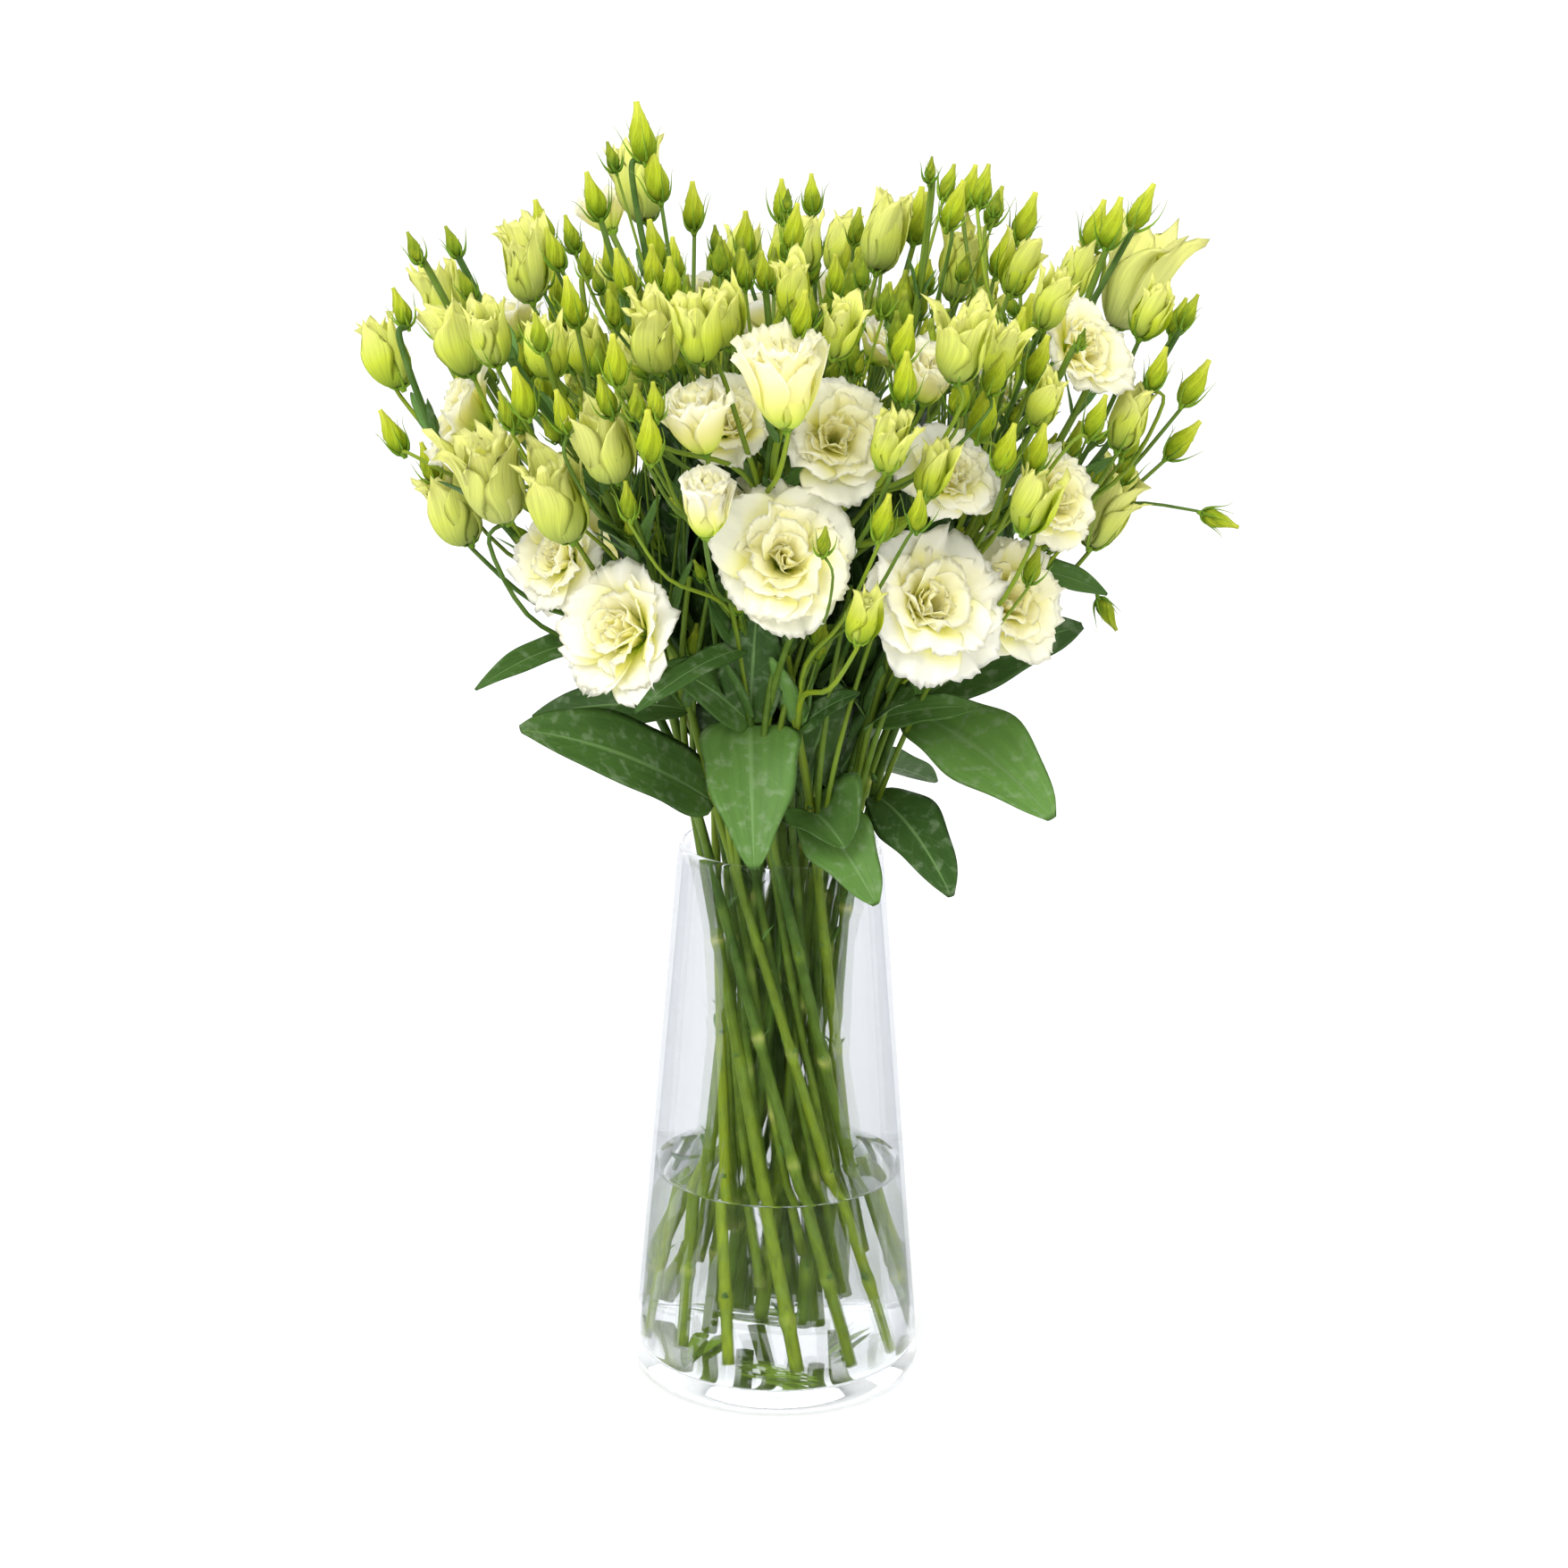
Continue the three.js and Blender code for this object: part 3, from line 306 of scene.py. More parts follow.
def route_to(head, start, leave, steps):
    """A cubic curve that leaves along a direction and comes in along the head's axis, with a straight stub
    at its end."""
    end = base[head] - axis[head] * STUB
    pull = np.linalg.norm(end - start) * 0.38
    t = np.linspace(0, 1, steps)[:, None]
    first, last = start + leave * pull, end - axis[head] * pull
    curve = start * (1 - t) ** 3 + 3 * first * t * (1 - t) ** 2 + 3 * last * t**2 * (1 - t) + end * t**3
    return np.vstack([curve, base[head]])


# %% Where two segments come nearest to each other, and how a push is shared out
def closest(a, b, c, d):
    """Shares along segments a-b and c-d of the points where the two come nearest to each other."""
    u, v, w = b - a, d - c, a - c
    uu, uv, vv = (u * u).sum(-1), (u * v).sum(-1), (v * v).sum(-1)
    uw, vw = (u * w).sum(-1), (v * w).sum(-1)
    s = np.clip((uv * vw - vv * uw) / np.maximum(uu * vv - uv**2, 1e-6), 0, 1)
    t = np.clip((uv * s + vw) / vv, 0, 1)
    return np.clip((uv * t - uw) / uu, 0, 1), t


def all_segments(sets):
    """For each segment of each band: its first point's number, its stem, its head, its radius, and whether
    it is in the first set, whose bands may move."""
    rows, offset = [], 0
    for order, one in enumerate(sets):
        count, steps, _ = one["points"].shape
        first = (offset + np.arange(count)[:, None] * steps + np.arange(steps - 1)).ravel()
        owners = [np.repeat(one[key], steps - 1) for key in ("stem", "head")]
        rows.append([first, *owners, np.full(first.size, one["radius"]), np.full(first.size, order == 0)])
        offset += count * steps
    return map(np.concatenate, zip(*rows))


def shove(move, first, share, push):
    """Adds pushes at places along segments to both ends of each, the nearer end taking the larger share."""
    np.add.at(move, first, push * (1 - share)[:, None])
    np.add.at(move, first + 1, push * share[:, None])


# %% Bands that bow clear of heads and of each other
def bow_clear(bands, fixed, passes):
    """Pushes the free bands' inner points off heads and other bands, and smooths each band's own bow."""
    sets = [bands, *fixed]
    at = np.concatenate([one["points"].reshape(-1, 3) for one in sets])
    start, stem, mine, thick, free = all_segments(sets)
    middle = (at[start] + at[start + 1]) / 2
    apart = np.linalg.norm(middle[:, None] - middle, axis=-1)
    near = (apart < ROUTE_SIGHT) & (stem[:, None] != stem) & (free[:, None] | free)
    one, two = np.nonzero(np.triu(near, 1))
    strength = np.where(free[one] & free[two], BOTH_GIVE, ONE_GIVES)
    count, steps, _ = bands["points"].shape
    hold = np.where(kind[bands["head"]] == BLOOM, 2, 1)[:, None]
    k = np.arange(steps)
    loose = ((k >= 1) & (k < steps - hold))[..., None]
    rest = at[: count * steps].copy()
    bow = np.zeros((count, steps, 3))
    mover = np.flatnonzero(free)
    for _ in range(passes):
        move = np.zeros_like(at)
        a, b, c, d = at[start[one]], at[start[one] + 1], at[start[two]], at[start[two] + 1]
        s, t = closest(a, b, c, d)
        gap = a + (b - a) * s[:, None] - c - (d - c) * t[:, None]
        short = thick[one] + thick[two] + ROUTE_GAP - np.linalg.norm(gap, axis=-1)
        push = unit(gap) * (np.maximum(short, 0) * strength)[:, None]
        shove(move, start[one], s, push * free[one][:, None])
        shove(move, start[two], t, -push * free[two][:, None])
        a, u = at[start[mover]][:, None], (at[start[mover] + 1] - at[start[mover]])[:, None]
        share = np.clip(((place - a) * u).sum(-1) / (u * u).sum(-1), 0, 1)
        gap = a + u * share[..., None] - place
        short = radius + thick[mover][:, None] + ROUTE_GAP - np.linalg.norm(gap, axis=-1)
        short[np.arange(len(mover)), mine[mover]] = 0
        push = unit(gap) * (np.maximum(short, 0) * HEAD_PUSH)[..., None]
        np.add.at(move, start[mover], (push * (1 - share)[..., None]).sum(1))
        np.add.at(move, start[mover] + 1, (push * share[..., None]).sum(1))
        step = move[: count * steps].reshape(count, steps, 3)
        length = np.linalg.norm(step, axis=-1, keepdims=True)
        bow = (bow + step * np.minimum(1, BOW_STEP / np.maximum(length, 1e-9))) * loose
        bow = (BOW_KEPT * bow + BOW_SHARED * np.roll(bow, 1, 1) + BOW_SHARED * np.roll(bow, -1, 1)) * loose
        at[: count * steps] = rest + bow.reshape(-1, 3)
    return at[: count * steps].reshape(count, steps, 3)


# %% Main shoots, then pedicels
tops = np.array([heads[0] for heads in family])
leaders = {"stem": np.arange(len(tops)), "head": tops, "radius": LEADER_RADIUS}
leaders["points"] = np.stack([route_to(top, neck[n], along_stem[n], 7) for n, top in enumerate(tops)])
leaders["points"] = bow_clear(leaders, [], 60)


def fork_for(head, n, points):
    """The point of the main shoot where a head's pedicel leaves: far enough back, and well below the head."""
    wanted = PEDICEL_LENGTH * (0.75 + 0.5 * scatter(n, 0))
    fork = len(points) - 3
    while fork > 1 and np.linalg.norm(points[fork] - base[head]) < wanted:
        fork -= 1
    while fork > 1 and (points[fork] - base[head]) @ axis[head] > -FORK_DROP * wanted:
        fork -= 1
    return fork


routes, shoots, tips = [], [], []
for stem, heads in enumerate(family):
    line = leaders["points"][stem]
    for n, head in enumerate(heads[1:]):
        fork = fork_for(head, n, line)
        routes.append(route_to(head, line[fork], unit(line[fork + 1] - line[fork - 1]), 4))
        shoots.append(stem)
        tips.append(head)
pedicels = {"stem": np.array(shoots), "head": np.array(tips), "radius": PEDICEL_RADIUS}
pedicels["points"] = np.stack(routes)
pedicels["points"] = bow_clear(pedicels, [leaders], 70)
print("pedicels:", len(tips))

# %% Long shoots at the right: two arch over, so that their buds droop, and two run straight out
# Each row: the head, the head whose fork it shares, the way its shoot leaves and the way it comes in. Heads
# are numbered in the order of the tables.
LONG_SHOOTS = [
    (115, 115, (0.8, 0, 0.6), (0.94, -0.1, -0.33)), (133, 115, (0.9, -0.35, 0.3), (0.5, -0.15, -0.85)),
    (112, 112, (0.65, 0, 0.76), (0.65, -0.05, 0.76)), (110, 110, (0.55, 0, 0.83), (0.48, -0.05, 0.88)),
]
first_points = {head: points[0].copy() for head, points in zip(tips, pedicels["points"])}
for head, fork, leave, arrive in LONG_SHOOTS:
    axis[head] = unit(np.array(arrive))
    base[head] = place[head] - axis[head] * size[head] * SEAT[kind[head]]
    pedicels["points"][tips.index(head)] = route_to(head, first_points[fork], unit(np.array(leave)), 4)
print("long shoots:", len(LONG_SHOOTS))

# %% [markdown]
# ## Side buds
# Most pedicels carry younger buds, each on a short stalk of its own. They are too many to note one by one, so
# each pedicel gets one low and one high, unless a head is in its way or it would stand out of the crown.

# %% Side buds' feet, bases and directions
SIDE_STALK, SIDE_BUD, SIDE_GAP, SIDE_INSET = 21, 11, 6, 10
count = np.arange(2 * len(tips))
lower, upper = pedicels["points"][count // 2, count % 2], pedicels["points"][count // 2, 1 + count % 2]
side_foot = lower + (upper - lower) * (0.2 + 0.7 * scatter(count, 1))[:, None]
side_spoke = level(TURN * scatter(count, 3))
side_length = SIDE_STALK * (0.7 + 0.7 * scatter(count, 0))[:, None]
side_bend = side_foot + unit(upper - lower + 12 * side_spoke) * side_length * 0.55
side_base = side_bend + unit(upper - lower + 8 * side_spoke + 12 * UP) * side_length * 0.45
side_size = SIDE_BUD * (0.75 + 0.6 * scatter(count, 2))

# %% Buds on long shoots that fill the middle of the crown's top, which a view from the front hides
MIDDLE_BUDS, MIDDLE_REACH, MIDDLE_TOP, MIDDLE_RISE = 70, 105, 614, 130
MIDDLE_BACK, MIDDLE_DOME, MIDDLE_UNEVEN = 15, 0.0045, 34
count = np.arange(MIDDLE_BUDS)
middle_turn = TURN * scatter(count, 0)
middle_out = MIDDLE_REACH * np.sqrt((count + 0.5) / MIDDLE_BUDS)
middle_base = np.stack([
    middle_out * np.cos(middle_turn), CROWN_DEPTH_SHARE * middle_out * np.sin(middle_turn) - MIDDLE_BACK,
    MIDDLE_TOP - MIDDLE_DOME * middle_out**2 - MIDDLE_UNEVEN * scatter(count, 2),
], -1)
line = leaders["points"][:, 1:4].reshape(-1, 3)
miss = np.linalg.norm(middle_base[:, None] - line - UP * MIDDLE_RISE, axis=-1)
middle_foot = line[miss.argmin(1)]
middle_bend = middle_base - UP * 0.5 * (middle_base - middle_foot)[:, 2:]
side_foot = np.concatenate([side_foot, middle_foot])
side_bend = np.concatenate([side_bend, middle_bend])
side_base = np.concatenate([side_base, middle_base])
side_size = np.concatenate([side_size, 13 + 6 * scatter(count, 3)])
print("buds for the middle:", MIDDLE_BUDS)

# %% Side buds that are clear of every head
side_axis = unit(side_base - side_bend)
clear = np.ones(len(side_size), bool)
for share in (0, 1):
    at = side_base + side_axis * side_size[:, None] * share
    clear &= (np.linalg.norm(at[:, None] - place, axis=-1) > radius + SIDE_GAP).all(1)
off_axis = np.hypot(side_base[:, 0], side_base[:, 1] / CROWN_DEPTH_SHARE)
clear &= off_axis < crown_radius(side_base[:, 2]) - SIDE_INSET
side_foot, side_bend, side_base = side_foot[clear], side_bend[clear], side_base[clear]
side_axis, side_size = side_axis[clear], side_size[clear]
print("side buds:", int(clear.sum()), "of", len(clear))

# %% Heads that are drawn: a repeated far one that would stand well outside the crown is not
FAR_REACH = 1.2
off_axis = np.hypot(place[:, 0], place[:, 1] / CROWN_DEPTH_SHARE)
drawn = ~(far_side & (off_axis > FAR_REACH * crown_radius(place[:, 2])))
print("heads drawn:", int(drawn.sum()), "of", len(kind))

# %% [markdown]
# ## Where the leaves grow
# The large leaves sit where the bouquet leaves the vase. Each is noted by the places of its base and tip in
# the view, and grows from the front stem that passes nearest. A few more fill the back.

# %% Leaf bases and tips
OUTER_STEMS, BACK_LEAVES, FORWARD_FAVOUR, REAR_LIMIT = 12, 10, 0.25, 15


def nearest_fork(across, down):
    """The front stem and its point nearest to a line of sight; a point further forward counts as nearer."""
    line = np.concatenate([neck[:OUTER_STEMS, None], leaders["points"][:OUTER_STEMS, 1:6]], 1)
    miss = np.linalg.norm(seen_at(across, down, line[..., 1]) - line, axis=-1)
    miss += FORWARD_FAVOUR * line[..., 1]
    miss[line[..., 1] > REAR_LIMIT] = 1e9
    stem, step = np.unravel_index(miss.argmin(), miss.shape)
    return line[stem, step]


def back_leaves():
    """Leaves that lean straight outwards from points on the far stems."""
    for n in range(BACK_LEAVES):
        point = leaders["points"][(n * 5) % OUTER_STEMS, n % 3]
        if point[1] >= 5:
            out = unit(point * [1, 1, 0]) * (70 + 25 * scatter(n, 0))
            yield point, point + out + UP * 50 * (scatter(n, 1) - 0.45), 24 + 18 * scatter(n, 2)


front_leaves = [(nearest_fork(a, d), seen_at(ta, td, -out), width) for a, d, ta, td, out, width in LEAVES]
leaf_base, leaf_tip, leaf_width = map(np.array, zip(*front_leaves, *back_leaves()))
print("leaves:", len(leaf_width), "up to", leaf_width.max().round(), "mm wide")

# %% [markdown]
# ## From numbers to meshes
# Everything here is one of two things: a body made of rings, such as a stem, bud or vase, or a thin sheet,
# such as a petal or leaf. Two helpers close these for whole families at once, and a third turns the result
# into an object. Each point also carries three values for the materials: how far along its piece it lies,
# how far across, and a tone that differs from head to head.


# %% Bodies of rings
def triangles(faces):
    """Triples of corner numbers, given as arrays of any shape, as one list of triangles."""
    return np.concatenate([np.stack(three, -1).reshape(-1, 3) for three in faces])


def ringed(grid, along=0.0, across=0.0, tone=0.0):
    """Closed bodies: grid holds K bodies of N rings of S points, each ring joined to the next by triangles,
    and the end rings to their own centres."""
    count, rows, sides, _ = grid.shape
    ring = np.arange(count * rows * sides).reshape(count, rows, sides)
    after = np.roll(ring, -1, axis=2)
    a, b, c, d = ring[:, :-1], after[:, :-1], after[:, 1:], ring[:, 1:]
    foot = np.repeat(ring.size + np.arange(count)[:, None], sides, 1)
    tip = foot + count
    faces = [[a, b, c], [a, c, d], [foot, after[:, 0], ring[:, 0]], [tip, ring[:, -1], after[:, -1]]]
    points = np.concatenate([grid.reshape(-1, 3), grid[:, 0].mean(1), grid[:, -1].mean(1)])
    values = []
    for value in (along, across, tone):
        whole = np.broadcast_to(value, (count, rows, sides))
        values.append(np.concatenate([whole.ravel(), whole[:, 0].mean(1), whole[:, -1].mean(1)]))
    return points, triangles(faces), np.stack(values, -1)


# %% Tubes: rings carried along paths
def tubes(paths, radii, sides, **values):
    """Rings square to each path; a ring's first side is the last one's, less what points along the path."""
    way = unit(np.gradient(paths, axis=1))
    carried = np.where(abs(way[:, 0, :1]) < 0.8, [[1.0, 0, 0]], [[0, 1.0, 0]])
    side = np.empty_like(paths)
    for n in range(paths.shape[1]):
        carried = unit(carried - (carried * way[:, n]).sum(-1, keepdims=True) * way[:, n])
        side[:, n] = carried
    other = np.cross(way, side)
    angle = np.arange(sides) / sides * TURN
    spokes = side[:, :, None] * np.cos(angle)[:, None] + other[:, :, None] * np.sin(angle)[:, None]
    radii = np.broadcast_to(radii, paths.shape[:2])[..., None, None]
    return ringed(paths[:, :, None] + spokes * radii, **values)


def smooth_paths(points, steps):
    """Curves through points: between two of them, the cubic whose slopes are half the step across each."""
    before, after = 2 * points[:, :1] - points[:, 1:2], 2 * points[:, -1:] - points[:, -2:-1]
    ends = np.concatenate([before, points, after], 1)
    p0, p1, p2, p3 = (ends[:, n : ends.shape[1] - 3 + n, None] for n in range(4))
    t = np.arange(steps)[:, None] / steps
    cubic = 2 * p1 + (p2 - p0) * t + (2 * p0 - 5 * p1 + 4 * p2 - p3) * t**2
    cubic = cubic + (3 * p1 - p0 - 3 * p2 + p3) * t**3
    return np.concatenate([(cubic / 2).reshape(len(points), -1, 3), points[:, -1:]], 1)


def bent_lines(start, middle, end, t):
    """Curves that set out from each start towards its middle point and come in to its end from there: the
    three points, weighted by (1 - t) squared, twice t (1 - t), and t squared."""
    return start[:, None] * (1 - t) ** 2 + 2 * middle[:, None] * t * (1 - t) + end[:, None] * t**2


# %% Thin sheets
def sheets(grid, thickness, along=0.0, across=0.0, tone=0.0):
    """Closed thin sheets: each grid of R by C points is moved half its thickness to either side along its
    normal, the cross product of its two directions, and both sides share the points of the border."""
    count, rows, columns, _ = grid.shape
    normal = unit(np.cross(np.gradient(grid, axis=2), np.gradient(grid, axis=1)))
    inside = np.zeros((rows, columns), bool)
    inside[1:-1, 1:-1] = True
    offset = normal * inside[..., None] * thickness / 2
    front = np.arange(count * rows * columns).reshape(count, rows, columns)
    back = front.copy()
    back[:, inside] = front.size + np.arange(count * inside.sum()).reshape(count, -1)
    faces = []
    for index, turn in ((front, 1), (back, -1)):
        a, b, c, d = index[:, :-1, :-1], index[:, :-1, 1:], index[:, 1:, 1:], index[:, 1:, :-1]
        faces += [[a, b, c][::turn], [a, c, d][::turn]]
    points = np.concatenate([(grid + offset).reshape(-1, 3), (grid - offset)[:, inside].reshape(-1, 3)])
    values = []
    for value in (along, across, tone):
        whole = np.broadcast_to(value, (count, rows, columns))
        values.append(np.concatenate([whole.ravel(), whole[:, inside].ravel()]))
    return points, triangles(faces), np.stack(values, -1)


# %% Objects
CREASE = math.radians(25)


def piece(name, parts, material, replaces=(), crease=None):
    """One object from several point-and-triangle sets, in metres at the origin, smooth but for any edges
    that bend more than the crease angle, with its values."""
    starts = np.cumsum([0] + [len(points) for points, _, _ in parts])
    points = np.concatenate([points for points, _, _ in parts]) * MM
    faces = np.concatenate([faces + start for (_, faces, _), start in zip(parts, starts)])
    values = np.concatenate([values for _, _, values in parts])
    mesh = bpy.data.meshes.new(name)
    mesh.vertices.add(len(points))
    mesh.vertices.foreach_set("co", points.astype(np.float32).ravel())
    mesh.loops.add(faces.size)
    mesh.loops.foreach_set("vertex_index", faces.astype(np.int32).ravel())
    mesh.polygons.add(len(faces))
    mesh.polygons.foreach_set("loop_start", np.arange(0, faces.size, 3, dtype=np.int32))
    mesh.polygons.foreach_set("use_smooth", np.ones(len(faces), bool))
    for column, value in enumerate(("along", "across", "tone")):
        carried = mesh.attributes.new(value, "FLOAT", "POINT")
        carried.data.foreach_set("value", values[:, column].astype(np.float32))
    mesh.update(calc_edges=True)
    mesh.validate()
    if crease:
        mesh.set_sharp_from_angle(angle=crease)
    mesh.materials.append(material)
    made = bpy.data.objects.new(name, mesh)
    bpy.context.scene.collection.objects.link(made)
    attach(made, "root")
    if replaces:
        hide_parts(*replaces)
    print(f"{name}: {len(points)} points, {len(faces)} triangles")
    return made


# %% [markdown]
# ## Materials
# Petals, buds, leaves and stems differ in colour, but they share two effects: fine streaks that run along
# the piece, and soft blotches. Painted images would need a flat layout of each petal. Noise does without:
# the streaks are noise over the piece's own across and along values, drawn out lengthwise, and the blotches
# are noise over the place in space. Each is a node group, built once, and every material sets its own sizes.


# %% Node helpers
def node(tree, kind, inputs=(), **settings):
    """A node with its settings made, and each named input given a value or joined to a socket."""
    made = tree.nodes.new(kind)
    for key, value in settings.items():
        setattr(made, key, value)
    for key, value in dict(inputs).items():
        if isinstance(value, bpy.types.NodeSocket):
            tree.links.new(value, made.inputs[key])
        else:
            made.inputs[key].default_value = value
    return made


def new_group(name, inputs, outputs):
    """An empty shader group with named float sockets: the tree, its input node and its output node."""
    tree = bpy.data.node_groups.new(name, "ShaderNodeTree")
    for socket, value in inputs.items():
        tree.interface.new_socket(socket, in_out="INPUT", socket_type="NodeSocketFloat").default_value = value
    for socket in outputs:
        tree.interface.new_socket(socket, in_out="OUTPUT", socket_type="NodeSocketFloat")
    return tree, tree.nodes.new("NodeGroupInput"), tree.nodes.new("NodeGroupOutput")


def maths(tree, operation, *values):
    """A maths node's result."""
    return node(tree, "ShaderNodeMath", dict(enumerate(values)), operation=operation).outputs[0]


def mapped(tree, value, start, stop, first=0.0, last=1.0, way="LINEAR"):
    """A value's way from start to stop turned into the way from first to last, and held there outside."""
    return node(tree, "ShaderNodeMapRange", {
        "Value": value, "From Min": start, "From Max": stop, "To Min": first, "To Max": last,
    }, interpolation_type=way).outputs[0]


def carried_value(tree, name):
    """One of the three values that the points of every piece carry."""
    return node(tree, "ShaderNodeAttribute", attribute_name=name).outputs["Fac"]


def mixed(tree, share, first, second, blend="MIX"):
    """A mix of two colours. Sockets 0, 6 and 7 are the colour mix's share, first and second colour."""
    both = {0: share, 6: first, 7: second}
    return node(tree, "ShaderNodeMix", both, data_type="RGBA", blend_type=blend).outputs[2]


# %% Streaks along a piece
streaks, given, made = new_group("streaks", {"Count": 20, "Stretch": 2}, ["Value"])
TONE_SHIFT = 40.0
streak_place = node(streaks, "ShaderNodeCombineXYZ", {
    "X": maths(streaks, "MULTIPLY", carried_value(streaks, "across"), given.outputs["Count"]),
    "Y": maths(streaks, "MULTIPLY", carried_value(streaks, "along"), given.outputs["Stretch"]),
    "Z": maths(streaks, "MULTIPLY", carried_value(streaks, "tone"), TONE_SHIFT),
}).outputs[0]
streak_noise = node(streaks, "ShaderNodeTexNoise", {"Vector": streak_place, "Scale": 1.0, "Detail": 2.0})
streaks.links.new(streak_noise.outputs["Fac"], made.inputs["Value"])
print("a group's inputs:", [socket.name for socket in given.outputs if socket.name])

# %% Blotches in space
blotches, given, made = new_group("blotches", {"Scale": 60, "Low": 0.4, "High": 0.65}, ["Value"])
where = node(blotches, "ShaderNodeTexCoord").outputs["Object"]
scale, low, high = (given.outputs[key] for key in ("Scale", "Low", "High"))
cloud = node(blotches, "ShaderNodeTexNoise", {"Vector": where, "Scale": scale, "Detail": 4.0})
spots = mapped(blotches, cloud.outputs["Fac"], low, high, way="SMOOTHSTEP")
blotches.links.new(spots, made.inputs["Value"])
print("a group's inputs:", [socket.name for socket in given.outputs if socket.name])


# %% A leaf's rib and veins
VEINS, VEIN_SWEEP, VEIN_STRENGTH = 40.0, -11.0, 0.14


def rib_mask(tree):
    """1 on the midrib, where the value across is nearly 0, and less on side veins, which sweep forward: they
    lie where a sine of the value along less a share of the distance from the rib is near its top."""
    away = maths(tree, "ABSOLUTE", carried_value(tree, "across"))
    rib = mapped(tree, away, 0.02, 0.075, 1.0, 0.0, "SMOOTHSTEP")
    back = maths(tree, "MULTIPLY", away, VEIN_SWEEP)
    sweep = maths(tree, "SINE", maths(tree, "MULTIPLY_ADD", carried_value(tree, "along"), VEINS, back))
    return maths(tree, "MAXIMUM", rib, mapped(tree, sweep, 0.9, 1.0, 0.0, VEIN_STRENGTH))


# %% A skin's colours
def ramp_colour(tree, ramp):
    """The colour of each point by its way along the piece; the ramp is a list of places and colours."""
    shade = node(tree, "ShaderNodeValToRGB", {"Fac": carried_value(tree, "along")})
    points = shade.color_ramp.elements
    while len(points) < len(ramp):
        points.new(0.5)
    for point, (position, colour) in zip(points, ramp):
        point.position = position
        point.color = (*colour, 1)
    return shade.outputs["Color"]


def with_blotches(tree, colour, scale, low, high, patch, strength):
    """A colour with soft patches of another one."""
    sizes = {"Scale": scale, "Low": low, "High": high}
    spots = node(tree, "ShaderNodeGroup", sizes, node_tree=blotches).outputs[0]
    return mixed(tree, maths(tree, "MULTIPLY", spots, strength), colour, (*patch, 1))


# %% A plant's skin
RIB_PALE, RIB_SUNK, ROUGH_STREAKS, RELIEF, SHEEN_ROUGHNESS = 0.75, 0.8, 0.2, 0.0006, 0.4


def plant_material(name, ramp, toned, tone_share, *, count, dark, rough, bump, through=0.0, sheen=0.0,
                   gloss=0.07, blotch=None, rib=None):
    """Colour from the foot of the piece to its tip by a ramp, leaning to a second colour by the tone, with
    darker streaks, optional blotches and an optional rib; part of the light passes through the skin."""
    material = bpy.data.materials.new(name)
    material.use_nodes = True
    tree = material.node_tree
    tree.nodes.clear()
    tone = maths(tree, "MULTIPLY", carried_value(tree, "tone"), tone_share)
    colour = mixed(tree, tone, ramp_colour(tree, ramp), (*toned, 1))
    if blotch:
        colour = with_blotches(tree, colour, *blotch)
    lines = node(tree, "ShaderNodeGroup", {"Count": count}, node_tree=streaks).outputs[0]
    relief = lines
    if rib:
        mask = rib_mask(tree)
        colour = mixed(tree, maths(tree, "MULTIPLY", mask, RIB_PALE), colour, (*rib, 1))
        relief = maths(tree, "MULTIPLY_ADD", mask, -RIB_SUNK, relief)
    shadow = mapped(tree, lines, 0.3, 0.7, 1 - dark, 1.0)
    grey = node(tree, "ShaderNodeCombineColor", {key: shadow for key in ("Red", "Green", "Blue")})
    colour = mixed(tree, 1.0, colour, grey.outputs[0], "MULTIPLY")
    roughness = maths(tree, "MULTIPLY_ADD", lines, ROUGH_STREAKS, rough)
    height = node(tree, "ShaderNodeBump", {"Height": relief, "Strength": bump, "Distance": RELIEF})
    skin = node(tree, "ShaderNodeBsdfPrincipled", {
        "Base Color": colour, "Roughness": roughness, "Normal": height.outputs[0],
        "Sheen Weight": sheen, "Sheen Roughness": SHEEN_ROUGHNESS, "Specular IOR Level": gloss,
    })
    surface = skin.outputs[0]
    if through:
        glow = node(tree, "ShaderNodeBsdfTranslucent", {"Color": colour})
        surface = node(tree, "ShaderNodeMixShader", {0: through, 1: surface, 2: glow.outputs[0]}).outputs[0]
    tree.links.new(surface, node(tree, "ShaderNodeOutputMaterial").inputs["Surface"])
    return material


# %% [markdown]
# ## The vase
# The vase is drawn clear glass: a straight taper, wide at the foot, with a thick base, a rounded heel and a
# fire-polished rim. A cylinder with Solidify would lose the thick base. So one profile runs from the axis
# under the base, up the outside, over the rim and down the inside, and is carried round the axis.

# %% Clear glass and water
# Heights in metres between which the wall turns plain, above the base, and bends light again, at the rim.
PLAIN_FROM, PLAIN_TO = (1 / 60, 2 / 60), (0.298, 0.293)
WHITE = (1, 1, 1)


